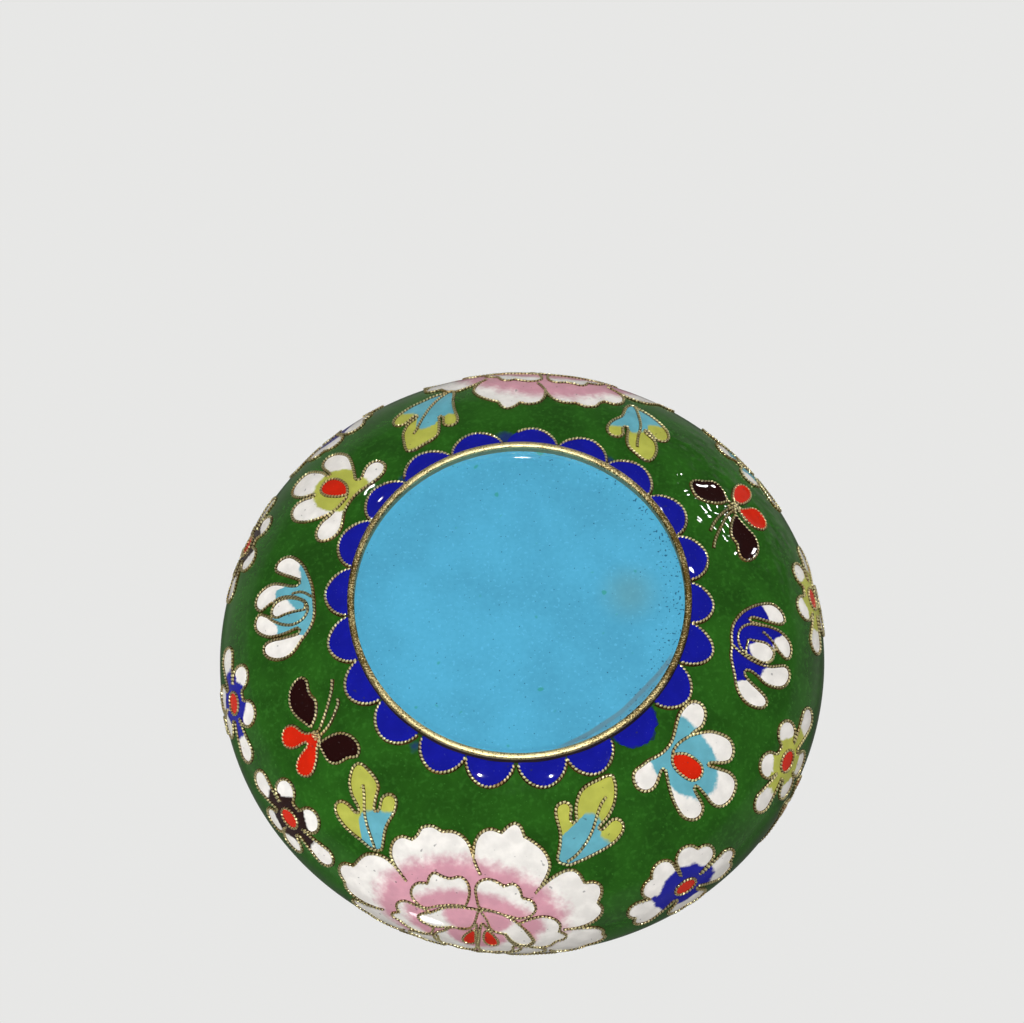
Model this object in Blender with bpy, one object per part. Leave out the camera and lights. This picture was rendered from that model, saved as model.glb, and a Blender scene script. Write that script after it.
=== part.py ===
"""A squat round cloisonne jar with an open mouth, standing on its foot ring.

Units are metres and +Z is up. The origin is the middle of the foot ring's underside.
"""

import math

import bmesh
import bpy

# Body: the turned shell of copper under fired enamel
BODY_RADIUS = 0.0500
EQUATOR_HEIGHT = 0.0256
SHOULDER_HEIGHT = 0.0476
CURVE_POWER = 2.2
WALL = 0.0026

# Neck: the short upright collar at the top of the shoulder
NECK_RADIUS = 0.0268
NECK_HEIGHT = 0.0010

# Foot ring: the gilt band under the body, round the recessed base
FOOT_RADIUS = 0.0273
FOOT_LIP = 0.0011
BASE_HEIGHT = 0.0019
FOOT_ROUNDING = 0.00022

# Mouth rim: the gilt band on top of the neck
RIM_HEIGHT = 0.0021
RIM_OVERHANG = 0.0004
RIM_ROUNDING = 0.00055

# Space left between pieces that are soldered together
GAP = 0.0003

# How finely the round shapes are cut
TURN_STEPS = 64
CURVE_STEPS = 12
ROUNDING_STEPS = 2
MERGE_DISTANCE = 0.000001


def clear_scene():
    for obj in list(bpy.data.objects):
        bpy.data.objects.remove(obj, do_unlink=True)


def make_material(name, color, roughness, metallic):
    material = bpy.data.materials.new(name)
    material.use_nodes = True
    shader = material.node_tree.nodes["Principled BSDF"]
    shader.inputs["Base Color"].default_value = (*color, 1.0)
    shader.inputs["Roughness"].default_value = roughness
    shader.inputs["Metallic"].default_value = metallic
    return material


def quarter_curve(reach, rise):
    """(radius, rise) points of a fuller-than-round quarter curve, from the widest point to the reach."""
    end = math.acos((reach / BODY_RADIUS) ** (CURVE_POWER / 2))
    full_rise = rise / math.sin(end) ** (2 / CURVE_POWER)
    points = []
    for step in range(CURVE_STEPS + 1):
        angle = end * step / CURVE_STEPS
        radius = BODY_RADIUS * math.cos(angle) ** (2 / CURVE_POWER)
        points.append((radius, full_rise * math.sin(angle) ** (2 / CURVE_POWER)))
    return points


def body_profile():
    """Outer side of the body, from the top of the neck down to the middle of the base."""
    upper = quarter_curve(NECK_RADIUS, SHOULDER_HEIGHT - EQUATOR_HEIGHT)
    lower = quarter_curve(FOOT_RADIUS, EQUATOR_HEIGHT - BASE_HEIGHT)
    profile = [(NECK_RADIUS, SHOULDER_HEIGHT + NECK_HEIGHT)]
    profile += [(radius, EQUATOR_HEIGHT + rise) for radius, rise in reversed(upper)]
    profile += [(radius, EQUATOR_HEIGHT - drop) for radius, drop in lower[1:]]
    profile.append((0.0, BASE_HEIGHT))
    return profile


def band_profile(inner, outer, bottom, top):
    """Closed cross-section of a plain band."""
    return [(outer, top), (outer, bottom), (inner, bottom), (inner, top)]


def turned_object(name, profile, closed, material):
    """Turns (radius, height) points round the Z axis into one smooth-shaded object."""
    mesh = bpy.data.meshes.new(name)
    shape = bmesh.new()
    verts = [shape.verts.new((radius, 0.0, height)) for radius, height in profile]
    ends = zip(verts, verts[1:] + verts[:1]) if closed else zip(verts, verts[1:])
    edges = [shape.edges.new(pair) for pair in ends]
    bmesh.ops.spin(
        shape,
        geom=verts + edges,
        cent=(0.0, 0.0, 0.0),
        axis=(0.0, 0.0, 1.0),
        angle=math.tau,
        steps=TURN_STEPS,
        use_merge=True,
    )
    bmesh.ops.remove_doubles(shape, verts=shape.verts, dist=MERGE_DISTANCE)
    bmesh.ops.recalc_face_normals(shape, faces=shape.faces)
    shape.to_mesh(mesh)
    shape.free()
    mesh.materials.append(material)
    mesh.shade_smooth()
    mesh.set_sharp_from_angle(angle=math.radians(35))
    obj = bpy.data.objects.new(name, mesh)
    bpy.context.scene.collection.objects.link(obj)
    return obj


def round_edges(obj, width):
    """Rounds a band's four corners."""
    rounding = obj.modifiers.new("Rounding", "BEVEL")
    rounding.width = width
    rounding.segments = ROUNDING_STEPS
    rounding.limit_method = "ANGLE"
    rounding.angle_limit = math.radians(60)


def make_body():
    enamel = make_material("green_enamel", (0.03, 0.16, 0.03), 0.12, 0.0)
    body = turned_object("body", body_profile(), False, enamel)
    wall = body.modifiers.new("Wall", "SOLIDIFY")
    wall.thickness = WALL
    wall.offset = -1.0
    wall.use_even_offset = True
    return body


def make_foot_ring():
    gilt = make_material("gilt_foot", (0.72, 0.52, 0.24), 0.3, 1.0)
    profile = band_profile(FOOT_RADIUS - FOOT_LIP, FOOT_RADIUS, 0.0, BASE_HEIGHT - GAP)
    foot_ring = turned_object("foot_ring", profile, True, gilt)
    round_edges(foot_ring, FOOT_ROUNDING)
    return foot_ring


def make_mouth_rim():
    gilt = make_material("gilt_rim", (0.72, 0.52, 0.24), 0.3, 1.0)
    seat = SHOULDER_HEIGHT + NECK_HEIGHT + GAP
    inner = NECK_RADIUS - WALL - RIM_OVERHANG
    outer = NECK_RADIUS + RIM_OVERHANG
    mouth_rim = turned_object("mouth_rim", band_profile(inner, outer, seat, seat + RIM_HEIGHT), True, gilt)
    round_edges(mouth_rim, RIM_ROUNDING)
    return mouth_rim


def main():
    clear_scene()
    jar = bpy.data.objects.new("jar", None)
    bpy.context.scene.collection.objects.link(jar)
    for piece in (make_body(), make_foot_ring(), make_mouth_rim()):
        piece.parent = jar


main()
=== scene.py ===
"""Looks of a cloisonne jar: its enamelled body, its gilt bands, and the cells and wires of its flowers.

Sizes are metres. The motifs are drawn flat in millimetres round a place on the jar, u to the right along
the jar's turn and v up towards the mouth, and are then laid on the jar's curve.
"""
import bisect
import math

import bmesh
import bpy
from bpy.props import FloatProperty, FloatVectorProperty, IntProperty, PointerProperty
from mathutils import Matrix, Vector, noise
from mathutils.kdtree import KDTree


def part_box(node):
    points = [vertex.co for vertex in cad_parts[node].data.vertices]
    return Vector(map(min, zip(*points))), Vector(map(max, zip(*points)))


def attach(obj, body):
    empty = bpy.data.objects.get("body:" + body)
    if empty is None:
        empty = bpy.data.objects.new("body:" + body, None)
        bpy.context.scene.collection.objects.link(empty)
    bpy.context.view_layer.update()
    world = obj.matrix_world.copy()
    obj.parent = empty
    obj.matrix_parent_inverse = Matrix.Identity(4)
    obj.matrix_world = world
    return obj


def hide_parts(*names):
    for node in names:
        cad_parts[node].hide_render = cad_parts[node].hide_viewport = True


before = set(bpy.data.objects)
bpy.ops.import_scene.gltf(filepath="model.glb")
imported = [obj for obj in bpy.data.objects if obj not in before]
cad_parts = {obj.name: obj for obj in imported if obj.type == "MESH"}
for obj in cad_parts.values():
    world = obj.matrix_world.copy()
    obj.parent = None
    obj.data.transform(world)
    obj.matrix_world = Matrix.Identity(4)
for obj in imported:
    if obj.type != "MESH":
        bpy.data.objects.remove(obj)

bl_info = {
    "name": "Cloisonne Jar",
    "version": (1, 0, 0),
    "blender": (4, 5, 0),
    "location": "3D View > Sidebar > Jar",
    "description": "Builds the enamel, the twisted wires and the gilt bands of a cloisonne jar",
    "category": "Object",
}

MM = 0.001

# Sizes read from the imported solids
BODY_LOW, BODY_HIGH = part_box("body")
FOOT_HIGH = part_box("foot_ring")[1]
RIM_LOW, RIM_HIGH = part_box("mouth_rim")
BODY_RADIUS = BODY_HIGH.x
FOOT_RADIUS = FOOT_HIGH.x
BASE_HEIGHT = BODY_LOW.z
NECK_TOP = BODY_HIGH.z
EQUATOR_HEIGHT = max(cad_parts["body"].data.vertices, key=lambda vert: vert.co.x).co.z

# Sizes that the solids' boxes don't give, as in the jar's construction
CURVE_POWER = 2.2
WALL = 2.6 * MM
NECK_HEIGHT = 1.0 * MM
RIM_OVERHANG = 0.4 * MM
FOOT_LIP = 1.1 * MM
NECK_RADIUS = RIM_HIGH.x - RIM_OVERHANG
SHOULDER_HEIGHT = NECK_TOP - NECK_HEIGHT

# How finely the round shapes are cut
TURN_STEPS = 256
SECTION_STEPS = 96
ARC_STEPS = 2000
BAND_STEPS = 224
BASE_STEPS = 40
OVAL_STEPS = 28
ARCH_STEPS = 36
ROUNDING_STEPS = 4
CORNER_ANGLE = math.radians(60)
SHARP_ANGLE = math.radians(50)
MERGE_DISTANCE = 1e-6

# Enamel cells: their grid and the spacing along outlines in millimetres, how high they stand and how deep
# their edges go
CELL_STEP = 0.8
OUTLINE_STEP = 0.45
CELL_LIFT = 0.04 * MM
LAYER_LIFT = 0.035 * MM
CELL_DEPTH = 0.15 * MM

# How fast the tone changes across a border between two colours, a millimetre
BORDER_SLOPE = 0.25

# The dark line along each wire: burnt enamel and flux, and partly painted shade of the wire
BED_RADIUS = 0.44 * MM
BED_DEPTH = 0.3 * MM
BED_SIDES = 10
BED_SPACING = 0.7 * MM

# One bead of the wire: radius and sideways shift of each section, as shares of the wire's half width
BEAD = ((0.36, 0.0), (0.86, 0.36), (1.0, 0.0), (0.86, -0.36))
WIRE_SIDES = 8

# The camera stands under the jar, as the photo shows it from its base
CAMERA_AIM = (0.00056, 0.02189, 0.01559)
CAMERA_DISTANCE = 0.5
CAMERA_TILT = math.radians(24.564)
CAMERA_ROLL = math.radians(-2.555)
CAMERA_LENS = 105.94
CAMERA_SENSOR = 36.0


def clamped(value):
    return min(max(value, 0.0), 1.0)


def eased(value, low, high):
    """How far a value lies from one level to the other, from 0 to 1, with soft ends."""
    share = clamped((value - low) / (high - low))
    return share * share * (3 - 2 * share)


# The jar's outer curve

def full_height(reach, rise):
    """Height of the whole quarter curve from the widest point that passes through (reach, rise)."""
    return rise / (1 - (reach / BODY_RADIUS) ** CURVE_POWER) ** (1 / CURVE_POWER)


LOWER_HEIGHT = full_height(FOOT_RADIUS, EQUATOR_HEIGHT - BASE_HEIGHT)
UPPER_HEIGHT = full_height(NECK_RADIUS, SHOULDER_HEIGHT - EQUATOR_HEIGHT)


def body_section(steps):
    """(radius, height) points of the outer curve, from the foot ring up to the neck."""
    foot = math.acos((FOOT_RADIUS / BODY_RADIUS) ** (CURVE_POWER / 2))
    neck = math.acos((NECK_RADIUS / BODY_RADIUS) ** (CURVE_POWER / 2))
    points = []
    for step in range(steps + 1):
        angle = -foot + (foot + neck) * step / steps
        radius = BODY_RADIUS * math.cos(angle) ** (2 / CURVE_POWER)
        full = LOWER_HEIGHT if angle < 0 else UPPER_HEIGHT
        rise = math.copysign(full * abs(math.sin(angle)) ** (2 / CURVE_POWER), angle)
        points.append((radius, EQUATOR_HEIGHT + rise))
    return points


def arc_table():
    """The outer curve's points with their distance along it from the foot ring, in millimetres."""
    points = body_section(ARC_STEPS)
    lengths = [0.0]
    for start, end in zip(points, points[1:]):
        lengths.append(lengths[-1] + math.dist(start, end) / MM)
    return points, lengths


ARC_POINTS, ARC_LENGTHS = arc_table()
WHOLE_ARC = ARC_LENGTHS[-1]


def at_arc(arc):
    """(radius, height) at a distance along the outer curve from the foot ring, in millimetres."""
    index = min(max(bisect.bisect_left(ARC_LENGTHS, arc), 1), ARC_STEPS)
    share = (arc - ARC_LENGTHS[index - 1]) / (ARC_LENGTHS[index] - ARC_LENGTHS[index - 1])
    return tuple(Vector(ARC_POINTS[index - 1]).lerp(Vector(ARC_POINTS[index]), clamped(share)))


def onto_body(point):
    """The point moved onto the jar's surface, straight out from the jar's middle, and the normal there."""
    rise = point.z - EQUATOR_HEIGHT
    radius = math.hypot(point.x, point.y)
    full = LOWER_HEIGHT if rise < 0 else UPPER_HEIGHT
    gauge = ((radius / BODY_RADIUS) ** CURVE_POWER + (abs(rise) / full) ** CURVE_POWER) ** (1 / CURVE_POWER)
    out = (radius / gauge / BODY_RADIUS) ** (CURVE_POWER - 1) / BODY_RADIUS
    up = math.copysign((abs(rise) / gauge / full) ** (CURVE_POWER - 1) / full, rise)
    normal = Vector((point.x / radius * out, point.y / radius * out, up)).normalized()
    return Vector((point.x / gauge, point.y / gauge, EQUATOR_HEIGHT + rise / gauge)), normal


class Place:
    """A spot on the jar, by azimuth in degrees and distance from the foot ring in millimetres.

    A hanging one is measured down from the neck, and its motif points down. The motif's drawing is scaled,
    turned and moved by the offset before it is laid there.
    """

    def __init__(self, azimuth, arc, offset=(0.0, 0.0), turn=0.0, size=1.0, hanging=False):
        angle = math.radians(azimuth)
        radius, height = at_arc(WHOLE_ARC - arc if hanging else arc)
        spot = Vector((radius * math.cos(angle), radius * math.sin(angle), height))
        self.origin, self.normal = onto_body(spot)
        self.across = Vector((-math.sin(angle), math.cos(angle), 0.0))
        self.up = self.normal.cross(self.across) * (-1 if hanging else 1)
        self.offset = Vector(offset)
        self.turn = Matrix.Rotation(math.radians(turn), 2)
        self.size = size

    def at(self, u, v, lift):
        """Where a point of the drawing lies, a distance above the ground enamel."""
        spot = self.turn @ Vector((u, v)) * self.size + self.offset
        point, normal = onto_body(self.origin + (self.across * spot.x + self.up * spot.y) * MM)
        return point + normal * lift


# Lines and outlines

def smooth_stretch(knots):
    """Closely spaced points on a smooth curve through the given ones."""
    knots = [Vector(knot) for knot in knots]
    knots = [2 * knots[0] - knots[1]] + knots + [2 * knots[-1] - knots[-2]]
    curve = []
    for before, start, end, after in zip(knots, knots[1:], knots[2:], knots[3:]):
        steps = max(1, round((end - start).length / OUTLINE_STEP))
        for step in range(steps):
            t = step / steps
            slope = (end - before) * t
            bend = (2 * before - 5 * start + 4 * end - after) * t ** 2
            twist = (3 * start - before - 3 * end + after) * t ** 3
            curve.append(start + 0.5 * (slope + bend + twist))
    return curve + [knots[-2]]


def closed_outline(stretches):
    """An outline through smooth stretches that meet in corners, without its first point again at the end."""
    line = []
    for stretch in stretches:
        points = smooth_stretch(stretch)
        if line and (points[0] - line[-1]).length < OUTLINE_STEP / 2:
            points = points[1:]
        line += points
    if (line[0] - line[-1]).length < OUTLINE_STEP / 2:
        line.pop()
    return line


def even_points(points, spacing, closed, multiple=1):
    """Points at an even spacing along a path of short straight pieces."""
    points = points + points[:1] if closed else points
    lengths = [0.0]
    for start, end in zip(points, points[1:]):
        lengths.append(lengths[-1] + (end - start).length)
    count = max(1, round(lengths[-1] / spacing / multiple)) * multiple
    even = []
    for step in range(count if closed else count + 1):
        length = lengths[-1] * step / count
        index = min(max(bisect.bisect_left(lengths, length), 1), len(points) - 1)
        gap = lengths[index] - lengths[index - 1]
        share = (length - lengths[index - 1]) / gap if gap else 0.0
        even.append(points[index - 1].lerp(points[index], share))
    return even


def petal_reach(angle, petal):
    """How far a drop-shaped petal reaches along a ray from the flower's middle, or 0 off the petal."""
    direction, tip, width = petal
    off = math.radians((angle - direction + 180) % 360 - 180)
    round_end = width / 2
    middle = tip - round_end
    inside = round_end ** 2 - (middle * math.sin(off)) ** 2
    return middle * math.cos(off) + math.sqrt(inside) if inside > 0 and abs(off) < math.pi / 2 else 0.0


def flower_outline(petals, middle):
    """Outline of petals that grow from a round middle of some radius, in degrees and millimetres."""
    outline = []
    for degrees in range(360):
        angle = math.radians(degrees)
        reach = max([middle] + [petal_reach(degrees, petal) for petal in petals])
        outline.append(Vector((reach * math.cos(angle), reach * math.sin(angle))))
    return even_points(outline, OUTLINE_STEP, True)


def oval(direction, tip, width, root, pointed=0.0):
    """An oval from its root to its tip; pointed is how far the root narrows to a point."""
    turn = Matrix.Rotation(math.radians(direction), 2)
    outline = []
    for step in range(OVAL_STEPS):
        angle = math.tau * step / OVAL_STEPS
        along = (tip + root) / 2 + (tip - root) / 2 * math.cos(angle)
        aside = width / 2 * math.sin(angle) * (1 - pointed * (1 - math.cos(angle)) / 2)
        outline.append(turn @ Vector((along, aside)))
    return outline


def petal_tone(petals, share):
    """Tone rule: 1 at that share of each petal, where its inner colour gives way to its tip's colour."""
    def tone(u, v):
        angle = math.degrees(math.atan2(v, u))
        distance = math.hypot(u, v)
        offsets = [abs((angle - petal[0] + 180) % 360 - 180) for petal in petals]
        nearest = offsets.index(min(offsets))
        return distance * math.cos(math.radians(min(offsets[nearest], 60))) / petals[nearest][1] / share
    return tone


def oval_tone(middle, half_width, half_rise, half_drop=None):
    """Tone rule: 1 on an oval round the middle, less inside; its lower half may reach further."""
    def tone(u, v):
        half = half_rise if v > middle[1] or half_drop is None else half_drop
        return math.hypot((u - middle[0]) / half_width, (v - middle[1]) / half)
    return tone


def climbing(outline, reach, height):
    """A rule of how far glass climbs towards a wire along the outline, in millimetres."""
    def rise(u, v):
        nearest = min(math.hypot(u - x, v - y) for x, y in outline)
        return height * max(0.0, 1 - nearest / reach) ** 2
    return rise


def border_tone(direction, knots):
    """Tone rule: 1 on a line across the direction, given as (distance aside, distance along) knots."""
    ahead = Vector((math.cos(math.radians(direction)), math.sin(math.radians(direction))))

    def tone(u, v):
        along = ahead.x * u + ahead.y * v
        aside = ahead.y * u - ahead.x * v
        border = knots[0][1] if aside < knots[0][0] else knots[-1][1]
        for (start, low), (end, high) in zip(knots, knots[1:]):
            if start <= aside < end:
                border = low + (high - low) * eased(aside, start, end)
        return 1 + BORDER_SLOPE * (along - border)
    return tone


# Materials

# Colours of wear, and of painted shade in the wires' necks and partly in the dark line along each wire, which
# no setting changes
BLED_COBALT = (0.012, 0.022, 0.16)
THIN_GROUND = (0.01, 0.035, 0.07)
BASE_STAIN = (0.18, 0.3, 0.2)
BASE_PIT = (0.012, 0.07, 0.16)
BASE_FLECK = (0.03, 0.33, 0.2)
BASE_STREAK_GREY = (0.14, 0.2, 0.22)
CELL_PIT = (0.03, 0.03, 0.04)
PAINTED_NECK_SHADE = (0.1, 0.046, 0.006)
DARK_FLUX_AND_SHADE = (0.032, 0.013, 0.003)
THIN_FLUX_AND_SHADE = (0.09, 0.045, 0.01)
INNER_TARNISH = (0.42, 0.42, 0.27)
WHOLE = (1.0, 1.0, 1.0)

# Spots where cobalt bled into the ground: azimuth, distance from the foot ring and reach in millimetres
BLEEDS = ((51.0, 1.2, 1.3), (88.0, 1.8, 1.9), (122.6, 1.2, 1.5), (306.5, 2.0, 0.9), (232.0, 2.4, 1.6))

# Azimuth and distance of the spot where the ground glass ran most
GLASS_RUN = (152.0, 12.0)

# The stain on the base, and the spot that its crowded pits keep away from
STAIN_SPOT = (-0.0175, 0.0005, BASE_HEIGHT)
CLEAR_SPOT = (0.006, 0.0, BASE_HEIGHT)

# The grey streak inside the foot ring: bearing, where it fades out to either side, inner radius
STREAK_BEARING = math.radians(-129.0)
STREAK_ENDS = (math.radians(31.0), math.radians(22.0))
STREAK_RADIUS = 24.1 * MM

# How far a cell's two colours run into each other, as a share of the tone
BLENDS = {"pink_to_white": 0.12, "aqua_to_lime": 0.1}
USUAL_BLEND = 0.06

# The bands: height of the lip, the side its walls lie on, metallic share and strength of the scratches, then
# shares of the gilt's colour where it is bright, dull colour, levels of wear and painted highlight from dull
# to bright, and the outer walls' colour
BANDS = {
    "foot_gilt": (0.0, 1.0, 1.0, 0.8,
                  (0.95, 0.9, 0.85), (0.16, 0.1, 0.025), (0.76, 0.94), (0.05, 0.02, 0.012)),
    "rim_gilt": (RIM_HIGH.z, -1.0, 0.7, 0.3,
                 (0.9, 0.68, 0.45), (0.5, 0.3, 0.08), (0.6, 1.0), (0.6, 0.4, 0.14)),
}


def node(tree, kind, inputs=None, **settings):
    """A new shader node with its settings, and values or links on its inputs."""
    item = tree.nodes.new(kind)
    for key, value in settings.items():
        setattr(item, key, value)
    for socket, value in (inputs or {}).items():
        if isinstance(value, bpy.types.NodeSocket):
            tree.links.new(value, item.inputs[socket])
        else:
            item.inputs[socket].default_value = value
    return item


def mixed(tree, factor, first, second, mode="MIX"):
    """Colour output of a mix of two colours."""
    sides = [each if isinstance(each, bpy.types.NodeSocket) else (*each, 1.0) for each in (first, second)]
    inputs = {0: factor, 6: sides[0], 7: sides[1]}
    return node(tree, "ShaderNodeMix", inputs, data_type="RGBA", blend_type=mode).outputs[2]


def ramped(tree, value, low, high, bottom=0.0, top=1.0):
    """A value output that rises smoothly from bottom to top between two levels."""
    inputs = {0: value, 1: low, 2: high, 3: bottom, 4: top}
    return node(tree, "ShaderNodeMapRange", inputs, interpolation_type="SMOOTHSTEP").outputs[0]


def maths(tree, operation, first, second=0.0):
    return node(tree, "ShaderNodeMath", {0: first, 1: second}, operation=operation).outputs[0]


def times(tree, first, second):
    return maths(tree, "MULTIPLY", first, second)


def distance_from(tree, where, spot):
    return node(tree, "ShaderNodeVectorMath", {0: where, 1: spot}, operation="DISTANCE").outputs["Value"]


def noisy(tree, where, scale, detail):
    """Soft noise round a half, with its scale in waves a metre."""
    inputs = {"Vector": where, "Scale": scale, "Detail": detail}
    return node(tree, "ShaderNodeTexNoise", inputs).outputs["Fac"]


def speckle(tree, where, size, cover):
    """1 in small grains of a size in metres; a lower cover leaves fewer of them."""
    return ramped(tree, noisy(tree, where, 1 / size, 1.0), 0.74 - cover, 0.8 - cover)


def new_material(name, roughness, metallic=0.0):
    """A material, its node tree, its shader and the object coordinates that its patterns read."""
    material = bpy.data.materials.new(name)
    material.use_nodes = True
    tree = material.node_tree
    shader = tree.nodes["Principled BSDF"]
    shader.inputs["Roughness"].default_value = roughness
    shader.inputs["Metallic"].default_value = metallic
    where = node(tree, "ShaderNodeTexCoord").outputs["Object"]
    return material, tree, shader, where


def bumped(tree, shader, height, depth, strength):
    """Raises the surface by a height pattern, whose full depth is in metres."""
    inputs = {"Height": height, "Distance": depth, "Strength": strength}
    tree.links.new(node(tree, "ShaderNodeBump", inputs).outputs["Normal"], shader.inputs["Normal"])


def uneven_gloss(tree, shader, where, size, depth, low, high, detail=3.0, strength=0.6):
    """Slight waves and roughness changes, as glass that has run and been polished has."""
    bumped(tree, shader, noisy(tree, where, 1 / size, detail), depth, strength)
    dull = noisy(tree, where, 900.0, 2.0)
    tree.links.new(ramped(tree, dull, 0.35, 0.7, low, high), shader.inputs["Roughness"])


def tinted(colour, shares):
    """The colour with each channel at its share."""
    return tuple(value * share for value, share in zip(colour, shares))


def spot_on_jar(azimuth, arc):
    """A spot of the ground enamel in object coordinates."""
    return tuple(Place(azimuth, arc).origin)


def green_ground():
    """Deep green glass with finer, lighter grains, and blue that bled into it where wires are missing."""
    green = bpy.context.scene.jar_colours.green
    material, tree, shader, where = new_material("green_ground", 0.14)
    deep = tuple(0.62 * value for value in green)
    pale = tuple(value * 1.7 + 0.006 for value in green)
    colour = mixed(tree, ramped(tree, noisy(tree, where, 140.0, 4.0), 0.3, 0.7), deep, green)
    haze = noisy(tree, where, 1300.0, 1.0)
    colour = mixed(tree, ramped(tree, haze, 0.45, 0.85, 0.0, 0.45), colour, pale)
    colour = mixed(tree, times(tree, speckle(tree, where, 0.5 * MM, 0.04), 0.6), colour, pale)
    ragged = times(tree, noisy(tree, where, 700.0, 3.0), 1.6 * MM)
    for azimuth, arc, reach in BLEEDS:
        away = maths(tree, "ADD", distance_from(tree, where, spot_on_jar(azimuth, arc)), ragged)
        bleed = ramped(tree, away, (reach + 1.1) * MM, (reach - 0.2) * MM)
        colour = mixed(tree, times(tree, bleed, 0.85), colour, BLED_COBALT)
    tree.links.new(colour, shader.inputs["Base Color"])
    run = ramped(tree, distance_from(tree, where, spot_on_jar(*GLASS_RUN)), 24 * MM, 9 * MM, 0.1, 1.0)
    uneven_gloss(tree, shader, where, 1.8 * MM, 0.32 * MM, 0.03, 0.05, 0.5, run)
    return material


def base_grey_streak(tree, where, axes, clouds):
    """How grey the base turns in a streak along one side, just inside the foot ring, with a fainter grey out
    to the ring.
    """
    bearing = maths(tree, "ARCTAN2", axes["Y"], axes["X"])
    off = maths(tree, "ABSOLUTE", maths(tree, "SUBTRACT", bearing, STREAK_BEARING))
    bow = times(tree, times(tree, off, off), 5.5 * MM)
    wander = times(tree, maths(tree, "SUBTRACT", clouds, 0.5), 1.2 * MM)
    inner = maths(tree, "ADD", maths(tree, "ADD", STREAK_RADIUS, bow), wander)
    radius = distance_from(tree, where, (0.0, 0.0, BASE_HEIGHT))
    past = maths(tree, "SUBTRACT", radius, inner)
    streak = times(tree, ramped(tree, past, 0.0, 0.25 * MM), ramped(tree, past, 1.2 * MM, 0.7 * MM))
    outer_grey = ramped(tree, past, 0.0, 0.3 * MM, 0.0, 0.3)
    streak_grey = maths(tree, "MAXIMUM", times(tree, streak, 0.62), outer_grey)
    return times(tree, streak_grey, ramped(tree, off, *STREAK_ENDS))


def turquoise_base():
    """Turquoise glass with tiny dark pits, a faint stain and a grey streak near the foot ring."""
    turquoise = bpy.context.scene.jar_colours.turquoise
    material, tree, shader, where = new_material("turquoise_base", 0.12)
    axes = node(tree, "ShaderNodeSeparateXYZ", {0: where}).outputs
    clouds = noisy(tree, where, 90.0, 4.0)
    deep = tuple(0.86 * value for value in turquoise)
    pale = tuple(min(1.0, value * 1.25 + 0.03) for value in turquoise)
    colour = mixed(tree, ramped(tree, clouds, 0.3, 0.7), deep, turquoise)
    colour = mixed(tree, times(tree, speckle(tree, where, 0.5 * MM, 0.1), 0.35), colour, pale)
    stain = ramped(tree, distance_from(tree, where, STAIN_SPOT), 6.5 * MM, 0.5 * MM)
    colour = mixed(tree, times(tree, stain, 0.3), colour, BASE_STAIN)
    edge = ramped(tree, distance_from(tree, where, CLEAR_SPOT), 24.5 * MM, 32 * MM)
    under = ramped(tree, axes["Z"], BASE_HEIGHT + 1.0 * MM, BASE_HEIGHT + 0.5 * MM)
    crowd = maths(tree, "ADD", 0.8, times(tree, times(tree, edge, under), -0.13))
    pits = maths(tree, "SUBTRACT", noisy(tree, where, 2600.0, 0.0), crowd)
    colour = mixed(tree, times(tree, ramped(tree, pits, 0.0, 0.05), 0.8), colour, BASE_PIT)
    mottle = ramped(tree, noisy(tree, where, 1400.0, 1.0), 0.3, 0.7)
    colour = mixed(tree, 1.0, colour, mixed(tree, mottle, (0.93, 0.95, 0.96), WHOLE), "MULTIPLY")
    flecks = noisy(tree, where, 560.0, 0.0)
    colour = mixed(tree, ramped(tree, flecks, 0.8, 0.86, 0.0, 0.6), colour, BASE_FLECK)
    colour = mixed(tree, base_grey_streak(tree, where, axes, clouds), colour, BASE_STREAK_GREY)
    tree.links.new(colour, shader.inputs["Base Color"])
    uneven_gloss(tree, shader, where, 5 * MM, 0.02 * MM, 0.03, 0.07)
    return material


def enamel(name, inner, outer, blend):
    """Cell glass of one colour, or of two that meet where the tone passes 1, with clouds, grains and pits."""
    material, tree, shader, where = new_material(name, 0.14)
    clouds = noisy(tree, where, 420.0, 4.0)
    colour = mixed(tree, 0.0, inner, inner)
    if outer:
        tone = node(tree, "ShaderNodeAttribute", attribute_name="tone").outputs["Fac"]
        drift = maths(tree, "ADD", clouds, times(tree, noisy(tree, where, 1500.0, 2.0), 0.6))
        drift = times(tree, maths(tree, "SUBTRACT", drift, 0.8), 0.26)
        tone = maths(tree, "ADD", tone, drift)
        colour = mixed(tree, ramped(tree, tone, 1 - blend, 1 + blend), inner, outer)
    shade = mixed(tree, ramped(tree, clouds, 0.35, 0.75), (0.84, 0.84, 0.84), WHOLE)
    colour = mixed(tree, 1.0, colour, shade, "MULTIPLY")
    grains = times(tree, speckle(tree, where, 0.35 * MM, 0.05), 0.35)
    colour = mixed(tree, grains, colour, mixed(tree, 1.0, colour, (0.06, 0.06, 0.06), "ADD"))
    pits = noisy(tree, where, 1500.0, 0.0)
    colour = mixed(tree, ramped(tree, pits, 0.79, 0.84, 0.0, 0.5), colour, CELL_PIT)
    tree.links.new(colour, shader.inputs["Base Color"])
    uneven_gloss(tree, shader, where, 1.6 * MM, 0.012 * MM, 0.03, 0.05)
    return material


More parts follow.
